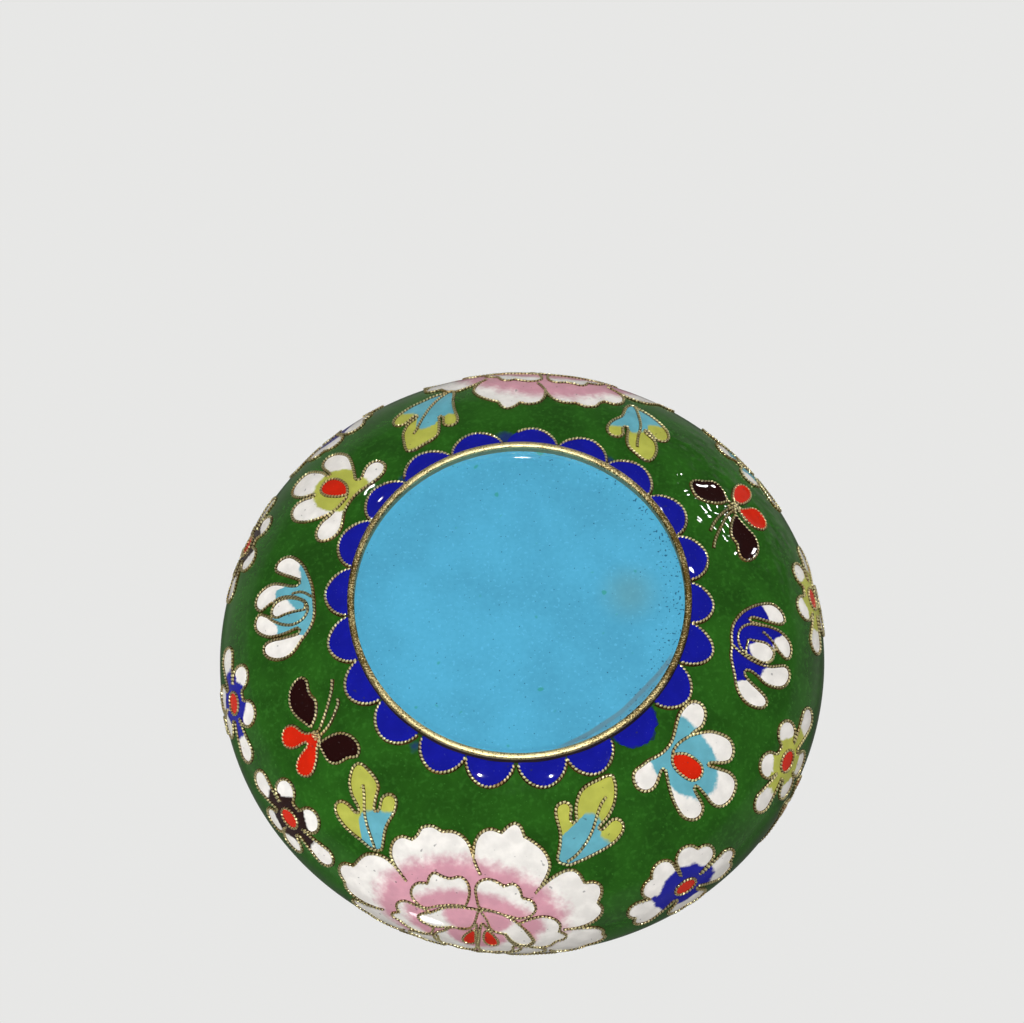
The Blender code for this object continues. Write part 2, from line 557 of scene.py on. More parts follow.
def gilt_wire():
    """Gilded copper wire, browner here and there where the gilding has gone, with painted shade darkening the
    necks between its beads.
    """
    gilt = bpy.context.scene.jar_colours.gilt
    material, tree, shader, where = new_material("gilt_wire", 0.42, 0.94)
    wear = noisy(tree, where, 420.0, 3.0)
    colour = mixed(tree, ramped(tree, wear, 0.28, 0.48), tinted(gilt, (0.72, 0.58, 0.42)), gilt)
    # The necks between beads, where the tone is low, get painted shade
    tone = node(tree, "ShaderNodeAttribute", attribute_name="tone").outputs["Fac"]
    colour = mixed(tree, ramped(tree, tone, 0.5, 0.8), PAINTED_NECK_SHADE, colour)
    tree.links.new(colour, shader.inputs["Base Color"])
    tree.links.new(ramped(tree, wear, 0.3, 0.7, 0.4, 0.26), shader.inputs["Roughness"])
    return material


def burnt_line():
    """The thin dark line of flux and oxide between a wire and the glass, partly painted shade of the wire on
    the glass.
    """
    material, tree, shader, where = new_material("burnt_line", 0.4)
    shader.inputs["Specular IOR Level"].default_value = 0.12
    patches = noisy(tree, where, 500.0, 3.0)
    # Dark brown of flux and oxide, partly painted shade beside the wire
    colour = mixed(tree, ramped(tree, patches, 0.4, 0.65), DARK_FLUX_AND_SHADE, THIN_FLUX_AND_SHADE)
    tree.links.new(colour, shader.inputs["Base Color"])
    tree.links.new(ramped(tree, patches, 0.3, 0.7, 0.3, 0.5), shader.inputs["Roughness"])
    return material


def worn_band(name, lip_height, lip_side, metallic, scratch_strength, shares, dull, wear, outer_wall_colour):
    """Gilt band: bright and scratched on its lip, brown on its outer wall and tarnished greenish grey on its
    inner wall, away from the lip. The lip is lighter towards +Y and −Y, a painted highlight placed where the
    lamp below reflects in the foot ring, and darker towards −X.
    """
    material, tree, shader, where = new_material(name, 0.3, metallic)
    axes = node(tree, "ShaderNodeSeparateXYZ", {0: where}).outputs
    flat = node(tree, "ShaderNodeCombineXYZ", {0: axes["X"], 1: axes["Y"], 2: 0.0}).outputs[0]
    radius = node(tree, "ShaderNodeVectorMath", {0: flat}, operation="LENGTH").outputs["Value"]
    scratches = noisy(tree, where, 4200.0, 5.0)
    patches = noisy(tree, where, 260.0, 5.0)
    # Scratches and patches of wear, plus a painted highlight towards +Y and −Y and a darkening towards −X
    ahead = times(tree, axes["Y"], axes["Y"])
    wear_and_highlight = times(tree, scratches, 1.1)
    for value, weight in ((patches, 0.4), (axes["X"], 0.8), (ahead, 0.22 / FOOT_RADIUS ** 2)):
        wear_and_highlight = maths(tree, "ADD", wear_and_highlight, times(tree, value, weight))
    bright = tinted(bpy.context.scene.jar_colours.gilt, shares)
    colour = mixed(tree, ramped(tree, wear_and_highlight, *wear), dull, bright)
    away = times(tree, maths(tree, "SUBTRACT", axes["Z"], lip_height), lip_side)
    wall = ramped(tree, away, 0.3 * MM, 0.6 * MM)
    outside = ramped(tree, radius, FOOT_RADIUS - 0.6 * MM, FOOT_RADIUS - 0.2 * MM)
    wall_colour = mixed(tree, outside, INNER_TARNISH, outer_wall_colour)
    colour = mixed(tree, times(tree, wall, 0.9), colour, wall_colour)
    tree.links.new(colour, shader.inputs["Base Color"])
    rough = maths(tree, "ADD", ramped(tree, scratches, 0.3, 0.7, 0.4, 0.56), times(tree, wall, 0.2))
    tree.links.new(rough, shader.inputs["Roughness"])
    bumped(tree, shader, scratches, 0.08 * MM, scratch_strength)
    return material


PLAIN_FINISHES = {
    "green_ground": green_ground,
    "turquoise_base": turquoise_base,
    "gilt_wire": gilt_wire,
    "burnt_line": burnt_line,
}


def glass_colour(name):
    """A cell's colour by its name in the settings, or the thin ground of a cell that lost its glass."""
    return THIN_GROUND if name == "ground" else tuple(getattr(bpy.context.scene.jar_colours, name))


def finish(name):
    """The material of that name, made on first use; cell glass is named for its one or two colours."""
    if name in bpy.data.materials:
        return bpy.data.materials[name]
    if name in PLAIN_FINISHES:
        return PLAIN_FINISHES[name]()
    if name in BANDS:
        return worn_band(name, *BANDS[name])
    inner, _, outer = name.partition("_to_")
    far_colour = glass_colour(outer) if outer else None
    return enamel(name, glass_colour(inner), far_colour, BLENDS.get(name, USUAL_BLEND))


# Building pieces

def add_piece(name, shape, finishes, replaces=None):
    """Turns a bmesh into a piece of the jar with its materials, riding on the jar's body."""
    mesh = bpy.data.meshes.new(name)
    shape.to_mesh(mesh)
    shape.free()
    for each in finishes:
        mesh.materials.append(finish(each))
    mesh.shade_smooth()
    mesh.set_sharp_from_angle(angle=SHARP_ANGLE)
    piece = bpy.data.objects.new(name, mesh)
    bpy.context.scene.collection.objects.link(piece)
    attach(piece, "root")
    if replaces:
        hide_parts(replaces)


def turned(profile, steps, closed=False):
    """A bmesh turned round the jar's axis from (radius, height) points."""
    shape = bmesh.new()
    verts = [shape.verts.new((radius, 0.0, height)) for radius, height in profile]
    ends = zip(verts, verts[1:] + verts[:1]) if closed else zip(verts, verts[1:])
    edges = [shape.edges.new(pair) for pair in ends]
    bmesh.ops.spin(
        shape,
        geom=verts + edges,
        cent=(0.0, 0.0, 0.0),
        axis=(0.0, 0.0, 1.0),
        angle=math.tau,
        steps=steps,
        use_merge=True,
    )
    bmesh.ops.remove_doubles(shape, verts=shape.verts, dist=MERGE_DISTANCE)
    bmesh.ops.recalc_face_normals(shape, faces=shape.faces)
    return shape


def swept_mesh(paths, radius, sides):
    """A round section swept along every path of (point, share of the radius), with closed ends.

    Each vertex keeps its nearest section's share as its tone.
    """
    ring = [math.tau * step / sides for step in range(sides)]
    section = bpy.data.curves.new("section", "CURVE")
    section.dimensions = "2D"
    spline = section.splines.new("POLY")
    spline.points.add(sides - 1)
    spline.use_cyclic_u = True
    for knot, angle in zip(spline.points, ring):
        knot.co = (radius * math.cos(angle), radius * math.sin(angle), 0.0, 1.0)
    section_holder = bpy.data.objects.new("section", section)
    curve = bpy.data.curves.new("sweep", "CURVE")
    curve.dimensions = "3D"
    curve.bevel_mode = "OBJECT"
    curve.bevel_object = section_holder
    curve.use_fill_caps = True
    for knots, closed in paths:
        spline = curve.splines.new("POLY")
        spline.points.add(len(knots) - 1)
        spline.use_cyclic_u = closed
        for knot, (point, share) in zip(spline.points, knots):
            knot.co = (*point, 1.0)
            knot.radius = share
    holder = bpy.data.objects.new("sweep", curve)
    for each in (section_holder, holder):
        bpy.context.scene.collection.objects.link(each)
    bpy.context.view_layer.update()
    mesh = bpy.data.meshes.new_from_object(holder.evaluated_get(bpy.context.evaluated_depsgraph_get()))
    every_knot = [knot for knots, closed in paths for knot in knots]
    nearby = KDTree(len(every_knot))
    for index, (point, share) in enumerate(every_knot):
        nearby.insert(point, index)
    nearby.balance()
    tones = mesh.attributes.new("tone", "FLOAT", "POINT")
    for vertex, tone in zip(mesh.vertices, tones.data):
        tone.value = every_knot[nearby.find(vertex.co)[1]][1]
    for each in (holder, section_holder):
        bpy.data.objects.remove(each)
    for each in (curve, section):
        bpy.data.curves.remove(each)
    return mesh


def beaded(points, closed):
    """Sections of a twisted wire along surface points: slanting beads with narrow necks between them."""
    sizes = bpy.context.scene.jar_sizes
    even = even_points(points, sizes.bead_length / len(BEAD), closed, len(BEAD))
    last = len(even) - 1
    knots = []
    for index, point in enumerate(even):
        before = even[index - 1] if index or closed else point
        after = even[(index + 1) % len(even)] if index < last or closed else point
        normal = onto_body(point)[1]
        aside = (after - before).normalized().cross(normal)
        share, shift = BEAD[index % len(BEAD)]
        knots.append((point + normal * sizes.wire_height + aside * shift * sizes.wire_width / 2, share))
    return knots


def sunk(points, closed):
    """Sections of the dark line under a wire, mostly below the surface."""
    even = even_points(points, BED_SPACING, closed)
    return [(point - onto_body(point)[1] * BED_DEPTH, 1.0) for point in even]


class Relief:
    """Enamel work of one kind: its cells go into one piece and its wires into another.

    The fineness is the wires' width as a share of the usual one.
    """

    def __init__(self, name, fineness=1.0):
        self.name = name
        self.fineness = fineness
        self.cells = bmesh.new()
        self.finishes = []
        self.paths = []

    def cell(self, place, outline, colour, tone=None, layer=0, rise=None, step=CELL_STEP):
        """One enamel cell, cut in a grid so that it bends to the jar, with a low edge all round.

        The rise is a rule for how far the glass stands up or lies low, in millimetres.
        """
        if colour not in self.finishes:
            self.finishes.append(colour)
        flat = bmesh.new()
        tones = flat.verts.layers.float.new("tone")
        flat.faces.new([flat.verts.new((u, v, 0.0)) for u, v in outline])
        for axis, across in enumerate(((1.0, 0.0, 0.0), (0.0, 1.0, 0.0))):
            values = [vert.co[axis] for vert in flat.verts]
            low, high = min(values), max(values)
            for line in range(math.floor(low / step) + 1, math.ceil(high / step)):
                everything = flat.verts[:] + flat.edges[:] + flat.faces[:]
                middle = [line * step * part for part in across]
                bmesh.ops.bisect_plane(flat, geom=everything, dist=0.001, plane_co=middle, plane_no=across)
        for vert in flat.verts:
            vert[tones] = tone(vert.co.x, vert.co.y) if tone else 0.0
        bmesh.ops.triangulate(flat, faces=flat.faces[:])
        lowered = bmesh.ops.extrude_face_region(flat, geom=flat.faces[:])
        for part in lowered["geom"]:
            if isinstance(part, bmesh.types.BMVert):
                part.co.z = -1.0
        lift = CELL_LIFT + layer * LAYER_LIFT
        for vert in flat.verts:
            height = lift + (rise(vert.co.x, vert.co.y) * MM if rise else 0.0)
            vert.co = place.at(vert.co.x, vert.co.y, height if vert.co.z == 0.0 else -CELL_DEPTH)
        for face in flat.faces:
            face.material_index = self.finishes.index(colour)
        bmesh.ops.recalc_face_normals(flat, faces=flat.faces[:])
        carried = bpy.data.meshes.new("cell")
        flat.to_mesh(carried)
        flat.free()
        self.cells.from_mesh(carried)
        bpy.data.meshes.remove(carried)

    def wire(self, place, line, closed=False):
        """One twisted wire along a line of the drawing."""
        self.paths.append(([place.at(u, v, 0.0) for u, v in line], closed))

    def smooth_wire(self, place, knots):
        """One twisted wire on a smooth curve."""
        self.wire(place, smooth_stretch(knots))

    def edged_cell(self, place, outline, colour, tone=None, **shape):
        """A cell with a wire all round it."""
        self.cell(place, outline, colour, tone, **shape)
        self.wire(place, outline, closed=True)

    def wire_mesh(self):
        """The twisted wires and the dark lines under them, which are partly painted shade."""
        half_width = bpy.context.scene.jar_sizes.wire_width / 2 * self.fineness
        wires = [(beaded(points, closed), closed) for points, closed in self.paths]
        beds = [(sunk(points, closed), closed) for points, closed in self.paths]
        sweeps = ((wires, half_width, WIRE_SIDES), (beds, BED_RADIUS, BED_SIDES))
        shape = bmesh.new()
        for index, sweep in enumerate(sweeps):
            mesh = swept_mesh(*sweep)
            done = len(shape.faces)
            shape.from_mesh(mesh)
            shape.faces.ensure_lookup_table()
            for face in shape.faces[done:]:
                face.material_index = index
            bpy.data.meshes.remove(mesh)
        bmesh.ops.recalc_face_normals(shape, faces=shape.faces)
        return shape

    def build(self):
        """Makes the pieces."""
        if len(self.cells.faces):
            add_piece(self.name + "_enamel", self.cells, self.finishes)
        add_piece(self.name + "_wires", self.wire_mesh(), ["gilt_wire", "burnt_line"])


def build_motifs(name, rows, draw, fineness=1.0):
    """One relief from rows of azimuth, distance from the foot ring and what the drawing needs."""
    relief = Relief(name, fineness)
    for azimuth, arc, *shape in rows:
        draw(relief, Place(azimuth, arc), *shape)
    relief.build()


# The body and its bands

# The base enamel thickens against the foot ring between two radii
MENISCUS_START = 24.7 * MM
MENISCUS_END = 25.7 * MM
MENISCUS_RISE = 0.28 * MM

# The ground is let in along both ends of the section, out to some radius
GROOVE_DEPTH = 0.2 * MM
GROOVE_END = 33.5 * MM
GROOVE_SLOPE = 4.0 * MM

# Where the bore of the neck starts, how far the foot ring is let in, and the bands' roundings
BORE_START = SHOULDER_HEIGHT - WALL * 0.7
FOOT_SEAT = 0.4 * MM
FOOT_ROUNDING = 0.4 * MM
RIM_ROUNDING = 0.5 * MM


def base_profile():
    """(radius, height) of the base's underside, from the foot ring in to the middle."""
    points = []
    for step in range(BASE_STEPS):
        radius = (FOOT_RADIUS - FOOT_LIP) * (1 - (step / BASE_STEPS) ** 2)
        drop = MENISCUS_RISE * eased(radius, MENISCUS_START, MENISCUS_END)
        points.append((radius, BASE_HEIGHT - drop))
    return points + [(0.0, BASE_HEIGHT)]


def inside_profile():
    """(radius, height) of the inside, from the middle of the floor up to the top of the neck."""
    floor = BASE_HEIGHT + WALL
    points = [(0.0, floor)]
    bore = NECK_RADIUS - WALL
    for radius, height in body_section(SECTION_STEPS // 2):
        normal = onto_body(Vector((radius, 0.0, height)))[1]
        inner = (radius - normal.x * WALL, max(height - normal.z * WALL, floor))
        if inner[1] < SHOULDER_HEIGHT - WALL and inner[0] > bore:
            points.append(inner)
    return points + [(bore, BORE_START), (bore, RIM_LOW.z)]


def grooved(section):
    """The body's section, let in a little along both ends, where the scallops are dished."""
    points = []
    for radius, height in section:
        normal = onto_body(Vector((radius, 0.0, height)))[1]
        depth = GROOVE_DEPTH * eased(GROOVE_END - radius, 0.0, GROOVE_SLOPE)
        points.append((radius - normal.x * depth, height - normal.z * depth))
    return points


def build_body():
    """The turned shell: green outside, turquoise on the base and the inside, closed over the whole wall."""
    outside = [(NECK_RADIUS, RIM_LOW.z)] + list(reversed(grooved(body_section(SECTION_STEPS))))
    profile = list(reversed(base_profile())) + list(reversed(outside))
    profile += list(reversed(inside_profile()))
    shape = turned(profile, TURN_STEPS)
    for face in shape.faces:
        middle = face.calc_center_median()
        radius = math.hypot(middle.x, middle.y)
        facing_out = face.normal.dot(Vector((middle.x, middle.y, middle.z - EQUATOR_HEIGHT))) > 0
        face.material_index = 0 if facing_out and radius > FOOT_RADIUS - FOOT_LIP / 2 else 1
    add_piece("jar_body", shape, ["green_ground", "turquoise_base"], "body")


def build_band(name, inner, outer, bottom, top, rounding, colour, replaces):
    """A gilt band with rounded edges."""
    profile = [(outer, bottom), (inner, bottom), (inner, top), (outer, top)]
    shape = turned(profile, BAND_STEPS, closed=True)
    rims = [edge for edge in shape.edges if edge.calc_face_angle(0.0) > CORNER_ANGLE]
    bmesh.ops.bevel(
        shape,
        geom=rims,
        offset=rounding,
        segments=ROUNDING_STEPS,
        profile=0.5,
        affect="EDGES",
        material=-1,
    )
    add_piece(name, shape, [colour], replaces)


def build_foot_ring():
    """The foot ring, let into the base enamel so that no gap shows."""
    inner = FOOT_RADIUS - FOOT_LIP
    top = BASE_HEIGHT + FOOT_SEAT
    build_band("foot_band", inner, FOOT_RADIUS, 0.0, top, FOOT_ROUNDING, "foot_gilt", "foot_ring")


def build_mouth_rim():
    """The rim, seated on the neck."""
    inner = NECK_RADIUS - WALL - RIM_OVERHANG
    top = RIM_HIGH.z
    build_band("mouth_band", inner, RIM_HIGH.x, NECK_TOP, top, RIM_ROUNDING, "rim_gilt", "mouth_rim")


# Scallops round the foot ring and the mouth

# Sizes in millimetres, the radius being where the scallops are measured out
SCALLOP_RADIUS = FOOT_RADIUS / MM + 1.0
SCALLOP_HEIGHT = 4.05
SCALLOP_FOOT = -0.6
SCALLOP_GAP = 0.5
SCALLOP_STEP = 0.7

# The arch's curve, the share of its half width at the foot, and how much the heights differ
SCALLOP_POWER = 1.9
FOOT_SHARE = 0.98
SCALLOP_SPREAD = 0.05

# Each dish sinks in its middle and climbs to its wire, in millimetres
DISH_CLIMB = 0.4
DISH_POWER = 2.4
DISH_SINK = 0.19

# Worn scallops of the foot ring: heights unlike the rest, the one without a wire, and part-wired ones
SCALLOP_LIFTS = {10: 0.92, 11: 1.13}
BARE_SCALLOP = 13
BARE_ROUGHNESS = 0.16
BARE_FOOT = -0.55
BARE_GLOW = (0.98, 0.96)
HALF_BARE = {5: (0.0, 0.72), 3: (0.0, 0.88)}

# Azimuths of the middles of the foot ring's scallops, which the maker spaced by eye
SCALLOP_MIDDLES = (
    6, 24, 42, 60, 78, 96.5, 114, 132, 150, 167, 183.5, 198, 214, 232, 249, 265, 282, 298, 316, 333, 349,
)


def arch(half_width, height, rough=0.0):
    """The scallop's arch from foot to foot; rough gives the ragged edge of a cell that lost its wire."""
    points = []
    for step in range(ARCH_STEPS + 1):
        angle = math.pi * step / ARCH_STEPS
        u = half_width * math.copysign(abs(math.cos(angle)) ** (2 / SCALLOP_POWER), math.cos(angle))
        v = height * abs(math.sin(angle)) ** (2 / SCALLOP_POWER)
        grow = 1 + rough * noise.noise(Vector((u * 1.4, v * 1.4, 3.0)))
        points.append(Vector((u * grow, v * grow)))
    return points


def dished(half_width, height):
    """A rule of how deep a scallop's glass lies in its middle and how far it climbs to its wire."""
    dish = oval_tone((0.0, height * 0.45), half_width, height * 0.6)
    return lambda u, v: DISH_CLIMB * min(dish(u, v), 1.0) ** DISH_POWER - DISH_SINK


def scallop_ring(relief, middles, hanging):
    """Cobalt scallops standing on the foot ring, where some are worn, or hanging from the mouth rim."""
    for index, azimuth in enumerate(middles):
        before = (azimuth - middles[index - 1]) % 360
        after = (middles[(index + 1) % len(middles)] - azimuth) % 360
        half_width = math.radians(min(before, after)) * SCALLOP_RADIUS / 2 - SCALLOP_GAP / 2
        height = SCALLOP_HEIGHT * (1 + SCALLOP_SPREAD * noise.noise(Vector((index * 1.7, 5.0, 0.0))))
        place = Place(azimuth, 0.0, hanging=hanging)
        if not hanging:
            height *= SCALLOP_LIFTS.get(index, 1.0)
        if index == BARE_SCALLOP and not hanging:
            line = arch(half_width, height, BARE_ROUGHNESS)
            foot = [(-half_width, BARE_FOOT), (half_width, BARE_FOOT)]
            tone = oval_tone((0.0, 0.0), half_width * BARE_GLOW[0], height * BARE_GLOW[1])
            relief.cell(place, line + foot, "cobalt_to_ground", tone)
            continue
        line = arch(half_width, height)
        inset = half_width * FOOT_SHARE
        foot = [(-inset, SCALLOP_FOOT), (inset, SCALLOP_FOOT)]
        relief.cell(place, line + foot, "cobalt", rise=dished(half_width, height), step=SCALLOP_STEP)
        if not hanging and index in HALF_BARE:
            start, end = HALF_BARE[index]
            line = line[round(start * len(line)):round(end * len(line))]
        relief.wire(place, line)


def build_scallops():
    """The ring at the foot, spaced as the maker did, and an even one at the mouth."""
    sizes = bpy.context.scene.jar_sizes
    relief = Relief("foot_scallops")
    scallop_ring(relief, SCALLOP_MIDDLES, hanging=False)
    relief.build()
    relief = Relief("mouth_scallops")
    even = [360.0 * (index + 0.5) / sizes.scallops for index in range(sizes.scallops)]
    scallop_ring(relief, even, hanging=True)
    relief.build()


# Trefoil leaves

PLAIN_LEAF = (
    [(-3.6, 6.3), (-2, 6), (-0.8, 5.9), (0.4, 5.8), (1.6, 5.6), (2.8, 5.2), (3.8, 4.7), (4.5, 3.9),
     (4.7, 3.1), (4.3, 2.3), (3.4, 1.9), (2.4, 1.9), (1.6, 2.2), (1, 2.2), (0.7, 1.8), (1.2, 1.1), (2, 0.7),
     (3, 0.2), (3.8, -0.5), (4.6, -1.4), (5, -2.4), (5.3, -3.5), (5, -4.4)],
    [(5, -4.4), (4.2, -4.7), (3.2, -4.6), (2, -4.4), (1, -4.1), (0.2, -3.6), (-0.2, -2.8), (-0.4, -2),
     (-0.7, -1.2), (-1, -0.4), (-1.5, 0.1), (-1.9, -0.2), (-1.9, -0.8), (-1.5, -1.8), (-1.4, -2.6),
     (-1.9, -3.3), (-2.6, -3.6), (-3.4, -3.4), (-3.9, -2.6), (-4.2, -1.6), (-4.2, -0.4), (-4.2, 0.8),
     (-4.4, 2), (-4.8, 3.2), (-5.2, 4.4), (-5.4, 5.3), (-4.9, 6), (-3.6, 6.3)],
)
LONG_LEAF = (
    [(5.2, 5.9), (2.8, 5.5), (1, 5.1), (-0.8, 4.7), (-2.4, 4.2), (-3.6, 3.5), (-4.5, 2.6), (-4.7, 1.6),
     (-4.2, 0.7), (-3.4, 0.4), (-2.6, 0.7), (-1.8, 1.2), (-1.1, 1.5), (-0.7, 1.1), (-1.2, 0.6), (-2.2, 0.1),
     (-3.4, -0.9), (-4.4, -2.2), (-5, -3.6), (-5.3, -4.8), (-5.2, -5.9)],
    [(-5.2, -5.9), (-4.2, -6.1), (-2.6, -5.9), (-0.8, -5.6), (0.4, -5), (1.2, -4), (1.8, -2.8), (2, -1.8),
     (2.2, -1), (2.8, -0.8), (3.1, -1.4), (2.8, -2.4), (2.4, -3.2), (2.8, -4), (3.6, -4.3), (4.5, -4),
     (5, -3), (5.1, -1.6), (5.1, -0.2), (5.4, 1.2), (6, 2.8), (6.7, 4.2), (6.6, 5), (6, 5.4), (5.2, 5.9)],
)
WIDE_LEAF = (
    [(7.1, 7.4), (5, 7.3), (3.4, 7.3), (1.6, 6.9), (0, 6.7), (-1.6, 6.2), (-3, 5.6), (-4.2, 4.8),
     (-4.8, 3.8), (-4.8, 2.6), (-4.2, 1.9), (-3.4, 1.7), (-2.6, 2), (-1.8, 2.5), (-1, 2.8), (-0.7, 2.4),
     (-1.2, 1.8), (-2.1, 1.5), (-3, 1), (-3.8, 0.2), (-4.6, -1), (-5, -2.4), (-5.4, -4), (-5.4, -5.1)],
    [(-5.4, -5.1), (-4.2, -5.4), (-2.6, -5.2), (-1, -5), (0.2, -4.5), (0.9, -3.6), (1.4, -2.4), (1.9, -1.2),
     (2.1, -0.3), (2.6, -0.3), (2.8, -0.9), (2.4, -1.8), (2.2, -2.6), (2.6, -3.3), (3.4, -3.6), (4.3, -3.2),
     (4.8, -2), (5, -0.4), (5.3, 1.2), (5.7, 2.8), (6.3, 4.4), (6.9, 6), (7.1, 7.4)],
)
BENT_LEAF = (
    [(-5.3, 6.8), (-4, 6.6), (-2.4, 6.4), (-1, 6.1), (0.6, 5.5), (2, 4.8), (3.1, 3.8), (3.8, 2.6),
     (3.8, 1.4), (3.2, 0.6), (2.4, 0.4), (1.4, 0.8), (0.4, 1.2), (-0.2, 1), (0.2, 0.5), (1.2, 0.2),
     (2.4, -0.2), (3.2, -1), (3.8, -2), (4.2, -3.2), (4.3, -4.2), (4, -5.1)],
    [(4, -5.1), (3, -5.3), (1.6, -5), (0.2, -4.7), (-0.8, -3.9), (-1.4, -2.9), (-1.9, -1.8), (-2.3, -0.9),
     (-2.8, -0.4), (-3.2, -0.8), (-3, -1.6), (-2.4, -2.4), (-2.4, -3.2), (-3, -3.9), (-4.2, -3.9),
     (-5, -3.2), (-5.4, -2), (-5.4, -0.6), (-5, 0.8), (-4.8, 1.6), (-5, 2.8), (-5.4, 4.2), (-5.6, 5.6),
     (-5.3, 6.8)],
)

# Azimuth, distance from the foot ring, outline, midrib, then the direction of the tip and the colour border
LEAVES = (
    (309.0, 14.0, PLAIN_LEAF,
     [(-4.3, 5.8), (-3.5, 4.9), (-1.6, 3), (-0.6, 1.9), (0.2, 0.8), (0.8, -0.2), (1.6, -1.4), (2.4, -2.3)],
     312.0, [(-6, -9), (-2.6, -6), (-2.2, -2.4), (-1.2, -0.8), (1.5, -1), (2.9, -1.6), (5, -1.6)]),
    (255.0, 11.0, LONG_LEAF,
     [(5.4, 5.2), (4, 4.6), (2.6, 3.6), (1.2, 2.3), (0, 0.8), (-1, -0.8), (-2.2, -2.4), (-3.3, -3.2)],
     225.0,
     [(-3.4, -5), (-2.9, -3.6), (-2.2, -1.2), (-1.7, 0.8), (-0.3, 1.5), (1.2, 0.8), (2.4, -1.2), (5, -1.6)]),
    (68.0, 11.0, WIDE_LEAF,
     [(6.6, 7.4), (4.6, 6), (3, 4.6), (1.6, 3.2), (0.2, 1.6), (-1.2, 0), (-2.2, -1.2), (-3, -1.9)],
     225.0,
     [(-4.5, -3), (-2.9, -2.5), (-2.4, -2), (-2, 1.3), (0.1, 2.1), (1.2, 1.6), (2.4, -1.8), (5, -2)]),
    (125.0, 11.0, BENT_LEAF,
     [(-4.6, 6.8), (-3.6, 5.4), (-2.4, 3.6), (-1.4, 2), (-0.7, 0.4), (-0.2, -1.2), (0.4, -2.6), (1, -3.6)],
     309.0, [(-5, -2.8), (-1.6, -2.6), (-1, -0.8), (0.4, -0.2), (1.8, 0.1), (2.6, -1.4), (6, -1.6)]),
)


def leaf(relief, place, outline, midrib, direction, border):
    """A leaf of three lobes, turquoise at its stem and lime at its tips."""
    relief.edged_cell(place, closed_outline(outline), "aqua_to_lime", border_tone(direction, border))
    relief.smooth_wire(place, midrib)


# Butterflies

# How far from its wires the glass of a wing climbs, and how high, in millimetres
WING_CLIMB = (1.5, 0.22)
WING_STEP = 0.4
BUTTERFLY_FINENESS = 0.9
BODY_KNOT = ((-0.7, 0.1), (-0.2, 0.9), (0.7, 0.9), (0.9, 0.2), (0.2, -0.1), (-0.1, 0.5), (0.4, 0.6))

# Azimuth, distance from the foot ring, red wings, dark wings and the wires between and before them
BUTTERFLIES = (
    (329.0, 11.5,
     ([(0.2, 0.4), (-0.5, 0.5), (-0.9, 1), (-1.4, 1.7), (-2.4, 2.6), (-3.1, 3.6), (-3.7, 4.8), (-3.7, 6.1),
       (-2.9, 7.1), (-2, 7.4), (-1.1, 6.8), (-0.5, 5.6), (-0.2, 4), (0, 2.7), (0.5, 2.4), (0.9, 3.2),
       (1.2, 4.6), (1.9, 5.9), (3, 6.6), (4.2, 6.2), (4.9, 5), (4.7, 3.7), (3.8, 2.8), (2.4, 2.3),
       (1.5, 1.6), (1, 0.7), (0.2, 0.4)],),
     ([(-1.1, 0.9), (-2.5, 1.1), (-4, 1.3), (-5, 0.9), (-5.6, 0), (-5.8, -1.2), (-6.2, -2.1), (-6.8, -2.9),
       (-6.2, -3.8), (-5.2, -4.2), (-3.8, -4.1), (-2.4, -3.3), (-1.6, -2.1), (-1.2, -0.6), (-1.1, 0.9)],
      [(1.9, 0.5), (3.4, 1), (5, 1.6), (6.6, 1.8), (8.2, 1.3), (9.4, 0.2), (9.9, -1.3), (9.6, -2.4),
       (8.6, -2.8), (7.4, -2.4), (6.2, -2.2), (5, -2.5), (3.8, -2), (2.7, -1), (1.9, 0.5)]),
     ([(-1, 0.7), (-0.2, 0), (0, -1.5), (0.4, -2.8), (1.2, -4.2), (2.1, -5.4), (2.8, -5.6)],
      [(1.2, 0.6), (0.6, -0.2), (1.3, -1.6), (2.4, -3.2), (3.4, -4.4), (4.6, -5.6), (6, -6.5)])),
    (154.0, 13.5,
     ([(-0.5, 1), (-1.4, 0.9), (-2.8, 2.1), (-3.6, 3.3), (-4, 4.8), (-3.8, 6.1), (-2.8, 6.7), (-1.7, 6),
       (-0.9, 4.8), (-0.4, 3.4), (-0.2, 2), (-0.5, 1)],
      [(0.8, 0.5), (0.9, 2.4), (0.9, 4), (1.5, 5.2), (2.8, 5.7), (4.2, 5.4), (5, 4.2), (4.9, 2.8),
       (4.2, 1.6), (2.6, 0.8), (0.8, 0.5)]),
     ([(-1.3, -0.6), (-2.4, -0.3), (-3.6, -0.1), (-4.8, -0.3), (-5.5, -1.2), (-5.8, -2.5), (-6.3, -3.5),
       (-6.3, -4.7), (-5.4, -5.3), (-4.2, -5.6), (-3.2, -5.5), (-2.3, -4.8), (-1.4, -3.4), (-1.1, -1.8),
       (-1.3, -0.6)],
      [(1.6, -0.7), (3, -0.4), (4.6, 0.2), (6, 0.8), (7.6, 0.7), (8.9, 0), (9.8, -1.4), (10, -3),
       (9.4, -3.8), (8, -3.8), (6.8, -3.4), (5.2, -3.7), (3.6, -2.9), (2.3, -1.7), (1.6, -0.7)]),
     ([(0.1, -0.4), (0.6, -2.6), (1.4, -4.4), (2.4, -5.9), (3.3, -6.9)],
      [(0.7, -0.6), (1.5, -2.6), (2.8, -4.3), (4.2, -6), (5.2, -7), (6.4, -7.8)],
      [(-1.3, 1), (-0.2, 0.5), (1.4, 0.5)],
      [(-1.3, -0.5), (-0.1, 0), (1.5, -0.6)],
      [(-0.6, 1.5), (0, 0.2), (0.3, -1.4)],
      [(0.6, 1.4), (0.7, 0), (-0.5, -1.2)])),
)


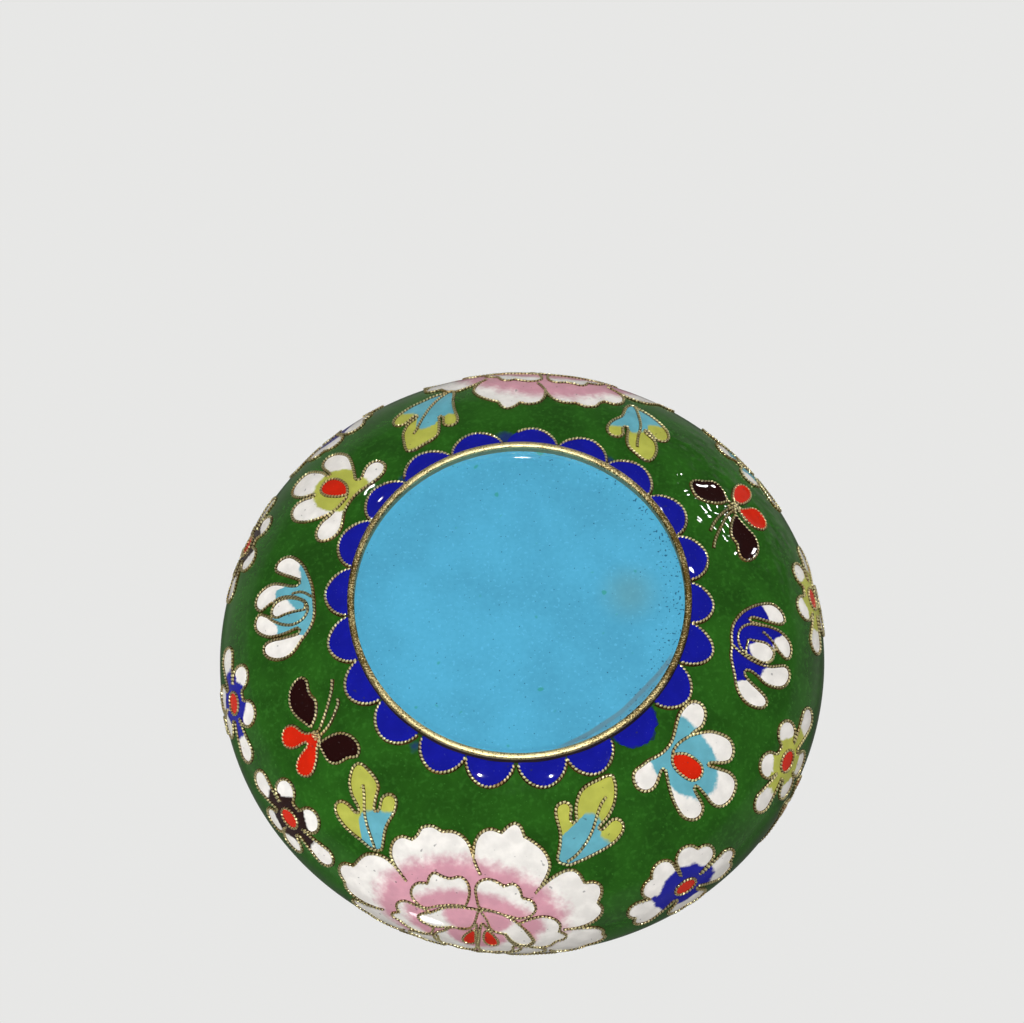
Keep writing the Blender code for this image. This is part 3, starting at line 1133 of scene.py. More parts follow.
def butterfly(relief, place, red_wings, dark_wings, wires):
    """Red and dark wings round a knotted wire, with wires for the body and the feelers."""
    for colour, wings in (("red", red_wings), ("maroon", dark_wings)):
        for wing in wings:
            outline = closed_outline([wing])
            relief.edged_cell(place, outline, colour, rise=climbing(outline, *WING_CLIMB), step=WING_STEP)
    for wire in (*wires, BODY_KNOT):
        relief.smooth_wire(place, wire)


# Chrysanthemums seen from the side

CHRYSANTHEMUM_FINENESS = 0.84

# Azimuth, distance from the foot ring, colours, outline, its colour border, inner petal, its border, wires
CHRYSANTHEMUMS = (
    (3.0, 11.0, "aqua_to_white",
     ([(-3.9, -2.6), (-4.5, -2.2), (-4.6, -0.8), (-4.7, 0.8), (-4.6, 2.4), (-4.8, 4), (-5.4, 4.9),
       (-6.6, 4.8), (-7.6, 3.6), (-8.1, 2), (-8.1, 0.4), (-7.6, -0.9), (-6.8, -1.8), (-5.6, -2.8),
       (-4.4, -3.9), (-3, -4.7), (-1.4, -5), (0.2, -4.9), (1.8, -4.7), (3.6, -4.3), (5.4, -3.5),
       (7.4, -2.4), (9, -0.8), (9.9, 0.8), (9.8, 2.4), (8.9, 3.4), (7.8, 3.2), (7, 2), (6.2, 0.4),
       (5.4, -1.2), (4.7, -2.2), (4, -1.8), (4.1, -0.6), (4.6, 0.8), (5.2, 2.4), (5.4, 4), (5, 5.6),
       (4.2, 6.9), (3, 7.4), (2, 7), (1.3, 6.2), (1.1, 5.6), (1.6, 4.4), (2.1, 3)],
      [(2.1, 3), (1.5, 2.6), (0.6, 3.2), (-0.8, 3)],
      [(-0.8, 3), (-0.3, 3.9), (0.3, 5.2), (0.6, 6), (0, 6.8), (-1.2, 7.1), (-2.4, 6.4), (-3.3, 5),
       (-3.9, 3.4), (-4, 1.4), (-3.8, -0.4), (-3.4, -2.1), (-3.9, -2.6)]),
     [(-9, -9), (-4.7, -3), (-4.2, 1.8), (-2.6, 1.9), (-1, 3), (1, 2.4), (4.2, 2.4), (4.8, -2.3),
      (9, -1.2)],
     ([(-0.5, -3.3), (-0.5, -1), (-0.7, 0.8), (-0.9, 2), (-0.3, 2.9), (0.6, 3.1), (1.6, 2.4), (2.1, 1),
       (2, -0.6), (1.4, -2.3), (0.6, -3.4), (-0.5, -3.3)],), (132.0, [(-9, -1.2), (9, -1.2)]),
     ([(-0.4, 3.9), (-1.3, 2.7), (-2.2, 1), (-2.7, -0.8), (-2.5, -2.3), (-1.8, -3.4), (-0.6, -3.9),
       (0.7, -3.5), (1.6, -2.3), (2.3, -0.6), (2.5, 1.2), (2.2, 2.8)],
      [(2.7, -0.8), (2.8, -2), (2.5, -3.1), (1.8, -4.1), (1.3, -4.9)])),
    (193.0, 12.8, "cobalt_to_white",
     ([(-5.1, -2.9), (-5.6, -2.2), (-5.8, -0.6), (-6, 1), (-6.2, 2.4), (-6.6, 3.6), (-7.4, 4.4),
       (-8.4, 4.1), (-9.2, 2.9), (-9.4, 1.4), (-8.8, -0.2), (-8, -1.6), (-7, -2.9), (-5.6, -4.2),
       (-4, -5.1), (-2.4, -5.5), (-0.8, -5.4), (0.4, -5.1), (2, -5), (3.6, -4.4), (5.2, -3.6), (6.8, -2.9),
       (8.2, -1.6), (8.9, 0.2), (8.8, 2), (8.2, 3.2), (7.2, 3.4), (6.4, 2.4), (5.8, 0.8), (5.2, -0.8),
       (4.5, -2), (3.7, -2.2), (3.4, -1.2), (3.8, 0.4), (4.3, 1.4), (4.5, 3), (4.2, 4.8), (3.4, 6.4),
       (2, 7.1), (0.8, 6.9), (0.1, 5.8), (0.5, 4.4), (1.2, 2.9), (1.6, 1.6)],
      [(1.6, 1.6), (1.1, 1.5), (0.4, 2.3), (-0.8, 2.6), (-1.9, 2.6)],
      [(-1.9, 2.6), (-1.6, 4), (-1.1, 5.2), (-1.4, 6.2), (-2.4, 6.6), (-3.8, 6.3), (-4.7, 5.2), (-5.1, 3.8),
       (-5.2, 2.2), (-5, 0.4), (-4.8, -1.2), (-4.6, -2.4), (-5.1, -2.9)]),
     [(-9, -1), (-6, 1.1), (-5.1, 4.1), (-3.2, 2.4), (1.4, 2.1), (2.6, 1), (4.4, 0.9), (5.2, -2.4),
      (9, -6)],
     ([(-1.5, -2.6), (-1.9, -0.6), (-2.1, 0.6), (-1.8, 1.8), (-1, 2.6), (0, 2.5), (0.9, 1.7), (1.3, 0.6),
       (1.2, -1.2), (0.9, -2.6), (-1.5, -2.6)],),
     (90.0, [(-1.8, -0.8), (-1.2, -1.9), (-0.4, -2.2), (0.6, -1.9), (1.2, -0.8)]),
     ([(-1.6, 3.8), (-2.6, 2.4), (-3.4, 1), (-3.8, -0.2)],
      [(-5, 0.6), (-4.6, -1), (-4.2, -2.6), (-3.2, -3.9), (-1.6, -4.4), (-0.2, -4), (0.8, -3), (1.2, -1.2)],
      [(1.7, 1.4), (1.8, 0), (1.6, -2), (1, -3.8), (0.3, -5.1)])),
)


def chrysanthemum(relief, place, colour, outline, border, inner, inner_border, wires):
    """White-tipped petals that curl up from a coloured crescent, round an inner petal."""
    relief.edged_cell(place, closed_outline(outline), colour, border_tone(90.0, border))
    relief.edged_cell(place, closed_outline(inner), colour, border_tone(*inner_border), layer=1)
    for wire in wires:
        relief.smooth_wire(place, wire)


# Five-petalled flowers seen from the side

# Azimuth, distance from the foot ring, colours, outline, stem wire, then the middle and the half-axes of the
# inner colour, and the heart
SIDE_FLOWERS = (
    (38.5, 10.8, "lime_to_white",
     ([(-3.4, -3.1), (-5, -2.8), (-6.5, -2.2), (-8, -2.2), (-9.2, -2.8), (-9.7, -3.8), (-9.2, -5),
       (-8, -5.9), (-6.4, -6.1), (-5, -5.6), (-3.4, -4.8), (-1.6, -4.4), (0, -4.4), (1.5, -4.7), (3, -5.2),
       (4.6, -5.6), (6, -5.6), (7.3, -4.9), (7.7, -3.7), (7.3, -2.6), (6.2, -2.1), (4.8, -2.4), (3.5, -3),
       (2.9, -2.9), (2.8, -2.2), (3.6, -1.2), (4.8, 0.4), (5.8, 2), (6.5, 3.6), (6.6, 5.4), (6.2, 7.1),
       (5.4, 8.2), (4.4, 8.3), (3.3, 7.4), (2.7, 6), (2.4, 4.4), (2, 3.4), (1.5, 3.5), (1.9, 5.5),
       (1.8, 7.5), (1.5, 9.5), (0.6, 10.8), (-1, 11.3), (-2.6, 10.8), (-3.6, 9.4), (-3.8, 7.5), (-3.5, 5.5),
       (-2.6, 4), (-2.3, 3.1), (-2.9, 3), (-3.4, 4), (-4.2, 5.2), (-5.2, 6), (-6.5, 6), (-7.4, 5.2),
       (-8, 3.8), (-7.8, 2), (-7.2, 0.4), (-6.2, -1), (-5, -2.2), (-3.4, -3.1)],),
     [(-3.4, -3.1), (-2, -3.3), (-0.6, -3.3)],
     ((0.0, -1.0), 4.3, 5.8),
     [(-0.3, -3.1), (-1.3, -1.7), (-1.9, 0.6), (-1.5, 2.4), (-0.3, 3.1), (1, 2.6), (1.6, 0.8), (1.1, -1.6),
      (-0.3, -3.1)]),
    (227.9, 10.8, "aqua_to_white",
     ([(-3.4, -3.2), (-4.8, -3.1), (-6.2, -2.8), (-7.4, -3.2), (-8.4, -4), (-8.7, -5.2), (-8, -6.3),
       (-6.8, -6.7), (-5, -6.6), (-3.6, -6), (-2.2, -5.2), (-0.8, -4.5), (0.8, -4.2), (2.4, -4.3),
       (4, -4.7), (5.6, -4.8), (7, -4.8), (8, -3.9), (8.3, -2.6), (7.8, -1.5), (6.6, -1), (5.4, -1.3),
       (4.2, -2), (3.2, -2.5), (3, -1.9), (3.4, -1.1), (4.2, 0.4), (5, 2.4), (5.4, 4.4), (5.5, 6), (5, 7.4),
       (4, 8.3), (3, 8.3), (2, 7.5), (1.6, 6), (1.5, 4.5), (1.2, 3.3), (0.7, 3.3), (0.5, 4.5), (0.4, 6),
       (0.4, 7.6), (0, 9.2), (-1, 10.2), (-2.4, 10.5), (-3.8, 10), (-4.9, 9), (-5.3, 7.6), (-5, 6),
       (-4.2, 4.6), (-3.4, 3.2), (-2.8, 2.2), (-3.3, 2.1), (-4.2, 3), (-5.2, 4), (-6.4, 4.7), (-7.6, 4.3),
       (-8.4, 3.2), (-8.5, 1.8), (-7.8, 0.2), (-6.8, -1.2), (-5.6, -2.1), (-4.4, -2.8), (-3.4, -3.2)],),
     [(-3.4, -3.2), (-2, -3.5), (-0.6, -3.5), (0.4, -3.1)],
     ((-0.5, -2.0), 4.9, 8.4),
     [(0.5, -3), (-1.2, -1.6), (-2, 0.8), (-1.7, 2.2), (-0.5, 2.8), (0.9, 2), (1.6, -0.4), (1.4, -2),
      (0.5, -3)]),
)


def side_flower(relief, place, colour, outline, stem, glow, heart):
    """Five petals in one cell, coloured round their roots, with a red heart."""
    relief.edged_cell(place, closed_outline(outline), colour, oval_tone(*glow))
    relief.edged_cell(place, closed_outline([heart]), "red", layer=1)
    relief.smooth_wire(place, stem)


# Open flowers round the widest part

# Petals of an open flower: direction in degrees, reach and width in millimetres
BELT_FLOWER = (
    (173, 10.3, 4.2),
    (222, 6.5, 4.2),
    (312, 6.5, 4.2),
    (1, 9.9, 4.2),
    (57, 7.2, 4.4),
    (113, 7.1, 4.4),
)
HEART_PETALS = ((236, 7.9), (311, 8.2), (12, 10.4), (166, 9.9), (90, 8.4))
HEART_FLOWER = tuple((angle + side / tip, tip, 4.2) for angle, tip in HEART_PETALS for side in (-120, 120))
FLOWER_MIDDLE = 3.0
FLOWER_HEART = 1.9
HEART_WIDTH = FLOWER_HEART * 1.65
ROOT_SHARE = 0.56

# Azimuth, distance from the foot ring, turn, petals and colours
BELT_FLOWERS = (
    (22.4, 26.4, 0.0, BELT_FLOWER, "maroon_to_white"),
    (51.6, 28.0, 0.0, HEART_FLOWER, "cobalt_to_white"),
    (143.1, 27.2, 0.0, BELT_FLOWER, "aqua_to_white"),
    (174.8, 26.4, -4.0, BELT_FLOWER, "lime_to_white"),
    (209.7, 25.8, 0.0, BELT_FLOWER, "lime_to_white"),
    (240.5, 29.2, 0.0, HEART_FLOWER, "cobalt_to_white"),
    (322.3, 26.4, 2.0, BELT_FLOWER, "maroon_to_white"),
    (348.3, 25.7, 0.0, BELT_FLOWER, "cobalt_to_white"),
)


def open_flower(relief, place, petals, colour):
    """A flower seen from the front, with a red heart."""
    relief.edged_cell(place, flower_outline(petals, FLOWER_MIDDLE), colour, petal_tone(petals, ROOT_SHARE))
    relief.edged_cell(place, oval(0, FLOWER_HEART, HEART_WIDTH, -FLOWER_HEART), "red", layer=1)


def build_belt_flowers():
    relief = Relief("belt_flowers")
    for azimuth, arc, turn, petals, colour in BELT_FLOWERS:
        open_flower(relief, Place(azimuth, arc, turn=turn), petals, colour)
    relief.build()


# Peonies

PEONY_OUTER = (
    [(-10, -6.2), (-12.2, -7.9), (-14.5, -8.9), (-16.2, -8.7), (-17.2, -7.6), (-17.7, -6.6)],
    [(-17.7, -6.6), (-19.6, -6.5), (-20.8, -5.6), (-20.9, -4), (-20.2, -2.5)],
    [(-20.2, -2.5), (-21.2, -1), (-21, 0.6), (-19.5, 2.1), (-17.2, 2.9), (-15.2, 2.9)],
    [(-15.2, 2.9), (-18.2, 3.3), (-20.8, 4.2), (-22.2, 6), (-22.3, 7.6)],
    [(-22.3, 7.6), (-23.2, 9.2), (-22.4, 11.4), (-19.9, 12.4)],
    [(-19.9, 12.4), (-18.9, 14.1), (-16.6, 14.9), (-14.2, 13.8)],
    [(-14.2, 13.8), (-14.5, 16.2), (-12.6, 18.1), (-10, 17.8)],
    [(-10, 17.8), (-8.6, 19.9), (-5.6, 20.3), (-3.6, 18.4)],
    [(-3.6, 18.4), (-1.9, 18.9), (-0.2, 17)],
    [(-0.2, 17), (1.5, 18.9), (3.4, 18.4)],
    [(3.4, 18.4), (5.4, 20.4), (8.4, 19.9), (9.8, 17.8)],
    [(9.8, 17.8), (12.4, 18.1), (14.3, 16.2), (14, 13.8)],
    [(14, 13.8), (16.4, 14.9), (18.8, 14.1), (20, 12.4)],
    [(20, 12.4), (22.6, 11.6), (23.4, 9.4), (22, 7.6), (19.4, 6.9), (17, 5.9)],
    [(17, 5.9), (20, 6.6), (22.8, 6), (24, 4.6), (24.1, 3)],
    [(24.1, 3), (25.2, 1.4), (25.2, -0.3), (24, -1.7), (22, -2.3)],
    [(22, -2.3), (21.2, -3.9), (20, -5.5), (18, -6.4), (16, -6.4), (14, -5.6), (12.4, -4.4)],
    [(12.4, -4.4), (14.1, -5.8), (15.3, -7.5), (15.3, -9.5), (14, -10.7), (12, -10.7)],
    [(12, -10.7), (11.3, -11.6), (10.8, -12.9), (9, -13.5), (7.2, -13)],
    [(7.2, -13), (5, -13.3), (3, -12.6), (1.8, -11.3), (1.1, -9.8)],
    [(1.1, -9.8), (1.3, -11), (1.2, -12.6), (0.3, -14), (-1.4, -14.6), (-3.1, -14.2)],
    [(-3.1, -14.2), (-4, -15.2), (-5.4, -15.9), (-6.5, -15.2), (-7, -14)],
    [(-7, -14), (-8.6, -13.3), (-10.5, -12), (-11.6, -10), (-11.1, -8), (-10, -6.2)],
)
PEONY_TAILS = (
    [(-10, -6.2), (-9.3, -5.2)],
    [(1.1, -9.8), (0.3, -8.4), (-0.3, -7.6)],
    [(12.4, -4.4), (11.7, -3.7)],
    [(17, 5.9), (15.8, 5.4)],
    [(-15.2, 2.9), (-14.4, 2.9)],
    [(-14.2, 13.8), (-13, 11.8)],
    [(-0.2, 17), (-0.3, 14)],
    [(14, 13.8), (12.8, 11.8)],
)
PEONY_MIDDLE = (
    ([(-6.9, 0.8), (-9, -0.4), (-11, -0.8), (-12.8, 0), (-13.8, 1.6), (-13.7, 3.2)],
     [(-13.7, 3.2), (-15.1, 4.8), (-14.9, 6.1), (-13.4, 6.9)],
     [(-13.4, 6.9), (-12.8, 8.5), (-11.4, 9.2), (-9.9, 9), (-9, 8.1)],
     [(-9, 8.1), (-9.8, 6.4), (-9.4, 4.7), (-8.4, 2.7), (-6.9, 0.8)]),
    ([(-6.9, -0.4), (-8.6, -0.9), (-9.5, -2.3), (-8.8, -3.9), (-7.2, -4.4)],
     [(-7.2, -4.4), (-6.7, -5.9), (-5.7, -6.7), (-4.2, -6.2)],
     [(-4.2, -6.2), (-2.8, -6.9), (-1.4, -7.1), (-0.2, -6.5), (0.3, -5.4), (0, -3.8), (-0.5, -2)],
     [(-0.5, -2), (-2.6, -1.7), (-4.8, -1), (-6.9, -0.4)]),
    ([(1.6, -2), (1.2, -4), (1.6, -5.9), (2.9, -6.8), (4.5, -6.2), (6, -6.3), (7.2, -6.6), (7.9, -5.8),
      (8.1, -4.5)],
     [(8.1, -4.5), (9.7, -4.1), (10.6, -2.8), (10.5, -1.2), (9.2, 0.1), (8, 0.4)],
     [(8, 0.4), (6, -0.8), (4, -1.6), (1.6, -2)]),
    ([(7.3, 0.9), (9.5, 0.5), (11.6, 0.3), (12.9, 1.3), (13.2, 2.7), (12.7, 3.8)],
     [(12.7, 3.8), (14.1, 5.2), (14.2, 6.4), (12.8, 7.1)],
     [(12.8, 7.1), (11.2, 8.8), (9.4, 9.3), (7.7, 8.4), (7, 6.8)],
     [(7, 6.8), (6.9, 5.1), (8.7, 4.4), (9.4, 3.1), (8.6, 1.9), (7.3, 0.9)]),
    ([(-9, 8.4), (-11.4, 9.8), (-12.2, 12), (-10.4, 13.4)],
     [(-10.4, 13.4), (-9.4, 15.4), (-6.6, 15.4), (-5.4, 13.4)],
     [(-5.4, 13.4), (-6.4, 11), (-6.6, 8), (-9, 8.4)]),
    ([(8.6, 9.6), (11.2, 10.4), (11.8, 12.4), (10, 13.6)],
     [(10, 13.6), (8.8, 15.4), (6.2, 15.2), (5.2, 13.2)],
     [(5.2, 13.2), (6.2, 11), (6.4, 8), (8.6, 9.6)]),
)
PEONY_INNER = (
    ([(-0.7, -1.6), (-3, -1.5), (-5, -0.7), (-7, 0.9), (-8.4, 3), (-9.6, 5.8)],
     [(-9.6, 5.8), (-8.8, 7.6), (-7.4, 7.4), (-6.2, 6), (-5.4, 4.4), (-5, 3.5)],
     [(-5, 3.5), (-3.5, 3.3), (-2.5, 2.2), (-1.8, 0.2), (-0.7, -1.6)]),
    ([(-0.4, -1.6), (2.4, -1.5), (5, -0.7), (7, 1), (8.6, 2.1), (9.3, 3.2), (8.5, 4.3), (6.8, 4.8),
      (5, 4.2), (3.6, 3.4)],
     [(3.6, 3.4), (1.8, 3.6), (0.6, 2.7), (0, 1), (-0.4, -1.6)]),
)
PEONY_BACK = (
    ([(-4.9, 3.7), (-5.6, 5.6), (-6.6, 7.4)],
     [(-6.6, 7.4), (-7.8, 9.6), (-6.6, 12), (-4, 12.4)],
     [(-4, 12.4), (-2.6, 13.5), (-1, 12.6), (-0.6, 10)],
     [(-0.6, 10), (-0.8, 6), (-1.1, 1.4), (-2.2, 2.6), (-4.9, 3.7)]),
    ([(3.8, 3.7), (5, 5.4), (6.2, 6.6)],
     [(6.2, 6.6), (7, 9.4), (6, 12), (3.6, 12.4)],
     [(3.6, 12.4), (1.8, 13.5), (0.2, 12.6), (-0.4, 10)],
     [(-0.4, 10), (-0.2, 6), (-0.2, 1.4), (0.8, 3), (3.8, 3.7)]),
)

# The rings of petals inside the outer one: petals, the oval where their pink turns white, and their layer
PEONY_RINGS = (
    (PEONY_MIDDLE, ((0.4, 2.0), 11.2, 10.0, 6.6), 1),
    (PEONY_BACK, ((-0.4, 3.0), 5.2, 7.5), 1),
    (PEONY_INNER, ((-0.4, -0.5), 5.6, 5.0), 2),
)
OUTER_GLOW = ((1.0, 1.0), 16.0, 14.2, 10.6)
PEONY_MIDRIB = [(-0.8, 2.6), (-0.8, 5), (-0.6, 9)]
PEONY_ARC = 26.0

# Root and direction of each stamen
STAMENS = ((-2.0, 3.0, 102.0), (0.1, 3.4, 79.0))
STAMEN_LENGTH = 5.5
STAMEN_WIDTH = 2.9
STAMEN_POINT = 0.5

# Azimuth, how far down the pink reaches, and extra wires
PEONIES = (
    (281.0, 1.0, ()),
    (96.6, 1.22, ([(-0.1, 17.2), (-0.7, 15), (-0.5, 12)], [(0, 17), (0.3, 14.6), (-0.2, 12.4)])),
)


def peony(relief, azimuth, reach, extra):
    """Scalloped petals in rings, pink at their roots and white at their edges, round two red stamens."""
    place = Place(azimuth, PEONY_ARC)
    pink = "pink_to_white"
    middle, half_width, half_rise, half_drop = OUTER_GLOW
    glow = oval_tone(middle, half_width, half_rise, half_drop * reach)
    relief.edged_cell(place, closed_outline(PEONY_OUTER), pink, glow)
    for tail in PEONY_TAILS:
        relief.smooth_wire(place, tail)
    for petals, ring_glow, layer in PEONY_RINGS:
        for petal in petals:
            relief.edged_cell(place, closed_outline(petal), pink, oval_tone(*ring_glow), layer=layer)
    for u, v, direction in STAMENS:
        stamen = oval(direction, STAMEN_LENGTH, STAMEN_WIDTH, 0.0, STAMEN_POINT)
        relief.edged_cell(Place(azimuth, PEONY_ARC, (u, v)), stamen, "red", layer=3)
    for wire in (*extra, PEONY_MIDRIB):
        relief.smooth_wire(place, wire)


def build_peonies():
    relief = Relief("peonies")
    for shape in PEONIES:
        peony(relief, *shape)
    relief.build()


# The shoulder, which the photo doesn't show, in keeping with the lower half and plainer

# Azimuth and distance from the neck, and the colours of the open flowers
SHOULDER_FLOWERS = ((336.0, 12.5), (154.0, 12.0))
SHOULDER_OPEN_FLOWERS = (
    (6.0, 12.5, "cobalt_to_white"),
    (193.0, 12.5, "maroon_to_white"),
    (38.5, 14.0, "aqua_to_white"),
    (227.9, 14.0, "lime_to_white"),
)
SHOULDER_BUTTERFLIES = ((351.0, 29.5), (172.5, 29.5), (211.0, 29.5), (22.5, 29.5))

# Sizes against the lower half's motifs, and how much nearer to the neck the leaves hang
SHOULDER_FLOWER_SIZE = 0.9
SHOULDER_OPEN_SIZE = 0.8
SHOULDER_BUTTERFLY_SIZE = 0.85
SHOULDER_LEAF_SHIFT = 1.5


def build_shoulder():
    """Leaves, flowers and butterflies between the peonies and the mouth."""
    relief = Relief("shoulder")
    for azimuth, arc, *shape in LEAVES:
        leaf(relief, Place(azimuth, arc - SHOULDER_LEAF_SHIFT, hanging=True), *shape)
    for (azimuth, arc), shape in zip(SHOULDER_FLOWERS, SIDE_FLOWERS):
        side_flower(relief, Place(azimuth, arc, size=SHOULDER_FLOWER_SIZE, hanging=True), *shape[2:])
    for azimuth, arc, colour in SHOULDER_OPEN_FLOWERS:
        place = Place(azimuth, arc, size=SHOULDER_OPEN_SIZE, hanging=True)
        open_flower(relief, place, BELT_FLOWER, colour)
    for (azimuth, arc), shape in zip(SHOULDER_BUTTERFLIES, BUTTERFLIES * 2):
        butterfly(relief, Place(azimuth, arc, size=SHOULDER_BUTTERFLY_SIZE, hanging=True), *shape[2:])
    relief.build()


# Stage

FLOOR_SIZE = 6.0
FLOOR_COLOUR = (0.3, 0.3, 0.295, 1.0)
BACKDROP = (0.8, 0.8, 0.79, 1.0)
REFLECTED = (0.83, 0.81, 0.76, 1.0)

# The floor's glow from deep under the jar to the open, dimmed near the jar as a painted shadow, and how far
# off the jar still dims it
FLOOR_GLOW = (0.2, 0.62)
SHADE_REACH = 0.07
SHADE_SAMPLES = 8

# Distances from the jar between which the floor turns into the backdrop
SWEEP = (0.2, 0.7)

# The world's strength as fill, and in reflections from dark to pale
FILL_STRENGTH = 0.3
MIRROR_STRENGTH = (0.1, 0.26)

# Levels, from 0 at the horizon to 1 overhead, where the reflected world grows pale and then dark again
PALE_FROM = (-0.05, 0.25)
PALE_TO = (0.85, 0.6)


def one_sided(tree, shader):
    """Lets the camera see a stage sheet from above only."""
    facing = node(tree, "ShaderNodeNewGeometry").outputs["Backfacing"]
    clear = node(tree, "ShaderNodeBsdfTransparent")
    choice = node(tree, "ShaderNodeMixShader", {0: facing, 1: shader, 2: clear.outputs[0]})
    tree.links.new(choice.outputs[0], tree.nodes["Material Output"].inputs["Surface"])


def build_floor():
    """A pale floor that runs into the backdrop, with a painted shadow under and beside the jar, and is clear
    from below, where the main camera stands.
    """
    shape = bmesh.new()
    bmesh.ops.create_grid(shape, x_segments=1, y_segments=1, size=FLOOR_SIZE / 2)
    mesh = bpy.data.meshes.new("floor")
    shape.to_mesh(mesh)
    shape.free()
    material = bpy.data.materials.new("pale_floor")
    material.use_nodes = True
    tree = material.node_tree
    shader = tree.nodes["Principled BSDF"]
    shader.inputs["Base Color"].default_value = FLOOR_COLOUR
    shader.inputs["Roughness"].default_value = 0.9
    shader.inputs["Specular IOR Level"].default_value = 0.0
    shader.inputs["Emission Color"].default_value = BACKDROP
    # Ambient occlusion dims the glow near the jar: a painted shadow
    shade = node(tree, "ShaderNodeAmbientOcclusion", {"Distance": SHADE_REACH}, samples=SHADE_SAMPLES)
    glow = ramped(tree, shade.outputs["AO"], 0.0, 1.0, *FLOOR_GLOW)
    tree.links.new(glow, shader.inputs["Emission Strength"])
    where = node(tree, "ShaderNodeTexCoord").outputs["Object"]
    backdrop = node(tree, "ShaderNodeEmission", {"Color": BACKDROP})
    far = ramped(tree, distance_from(tree, where, (0.0, 0.0, 0.0)), *SWEEP)
    sweep = node(tree, "ShaderNodeMixShader", {0: far, 1: shader.outputs[0], 2: backdrop.outputs[0]})
    one_sided(tree, sweep.outputs[0])
    mesh.materials.append(material)
    floor = bpy.data.objects.new("floor", mesh)
    bpy.context.scene.collection.objects.link(floor)
    floor.visible_shadow = False
    floor.visible_diffuse = False
    floor.visible_glossy = False


def build_world():
    """Pale to the camera, and dimmer in the jar's reflections, so that its edges stay deep in colour."""
    world = bpy.data.worlds.new("studio")
    world.use_nodes = True
    tree = world.node_tree
    path = node(tree, "ShaderNodeLightPath")
    seen = node(tree, "ShaderNodeBackground", {"Color": BACKDROP, "Strength": 1.0})
    way = node(tree, "ShaderNodeTexCoord").outputs["Generated"]
    level = node(tree, "ShaderNodeSeparateXYZ", {0: way}).outputs["Z"]
    band = times(tree, ramped(tree, level, *PALE_FROM), ramped(tree, level, *PALE_TO))
    mirror = ramped(tree, band, 0.0, 1.0, *MIRROR_STRENGTH)
    inputs = {0: path.outputs["Is Glossy Ray"], 2: FILL_STRENGTH, 3: mirror}
    strength = node(tree, "ShaderNodeMix", inputs).outputs[0]
    fill = node(tree, "ShaderNodeBackground", {"Color": REFLECTED, "Strength": strength})
    inputs = {0: path.outputs["Is Camera Ray"], 1: fill.outputs[0], 2: seen.outputs[0]}
    both = node(tree, "ShaderNodeMixShader", inputs)
    tree.links.new(both.outputs[0], tree.nodes["World Output"].inputs["Surface"])
    bpy.context.scene.world = world


# Name, direction from the jar, distance, size, power, and whether it shades, shines in reflections or both
LIGHTS = (
    ("lamp_below", (0.03, -0.23, -0.97), 0.6, 0.008, 2.8, "both"),
    ("window_below", (-0.65, 0.65, -0.33), 0.8, 0.08, 0.8, "shines"),
    ("window_beside", (0.41, 0.75, -0.52), 0.8, 0.03, 0.1, "shines"),
    ("softbox_above", (0.0, 0.36, 0.93), 0.8, 0.34, 6.0, "shades"),
    ("sheen_above", (0.0, 0.40, 0.92), 0.8, 0.08, 0.4, "shines"),
    ("sheen_front", (0.45, -0.8, 0.7), 0.9, 0.12, 0.25, "shines"),
    ("fill_front", (0.5, -0.8, 0.3), 0.9, 0.5, 3.0, "shades"),
    ("fill_side", (0.95, 0.1, 0.1), 0.9, 0.5, 3.0, "shades"),
    ("fill_back", (-0.4, 0.9, 0.1), 0.9, 0.5, 3.5, "shades"),
    ("fill_far_side", (-0.95, -0.2, 0.2), 0.9, 0.5, 2.0, "shades"),
)


def build_lights():
    """Round lamps that look at the middle of the jar."""
    middle = Vector((0.0, 0.0, EQUATOR_HEIGHT))
    for name, direction, distance, size, power, work in LIGHTS:
        light = bpy.data.lights.new(name, "AREA")
        light.shape = "DISK"
        light.size = size
        light.energy = power
        lamp = bpy.data.objects.new(name, light)
        away = Vector(direction).normalized()
        lamp.location = middle + away * distance
        lamp.rotation_euler = away.to_track_quat("Z", "Y").to_euler()
        lamp.visible_diffuse = work != "shines"
        lamp.visible_glossy = work != "shades"
        bpy.context.scene.collection.objects.link(lamp)


def build_camera():
    """Under the jar, looking up at its base as the photo does."""
    forward = Vector((0.0, math.sin(CAMERA_TILT), math.cos(CAMERA_TILT)))
    level_up = Vector((0.0, math.cos(CAMERA_TILT), -math.sin(CAMERA_TILT)))
    level_right = forward.cross(level_up)
    right = level_right * math.cos(CAMERA_ROLL) + level_up * math.sin(CAMERA_ROLL)
    up = level_up * math.cos(CAMERA_ROLL) - level_right * math.sin(CAMERA_ROLL)
    data = bpy.data.cameras.new("camera")
    data.lens = CAMERA_LENS
    data.sensor_width = CAMERA_SENSOR
    camera = bpy.data.objects.new("camera", data)
    turn = Matrix((right, up, -forward)).transposed().to_4x4()
    camera.matrix_world = Matrix.Translation(Vector(CAMERA_AIM) - forward * CAMERA_DISTANCE) @ turn
    bpy.context.scene.collection.objects.link(camera)
    bpy.context.scene.camera = camera


def build_stage():
    build_floor()
    build_world()
    build_lights()
    build_camera()
    bpy.context.scene.view_settings.view_transform = "Standard"


# Settings, operators and panel

def length_property(name, description, default, least, most):
    """A length, given here in millimetres."""
    return FloatProperty(
        name=name,
        description=description,
        default=default * MM,
        min=least * MM,
        max=most * MM,
        precision=5,
        unit="LENGTH",
    )


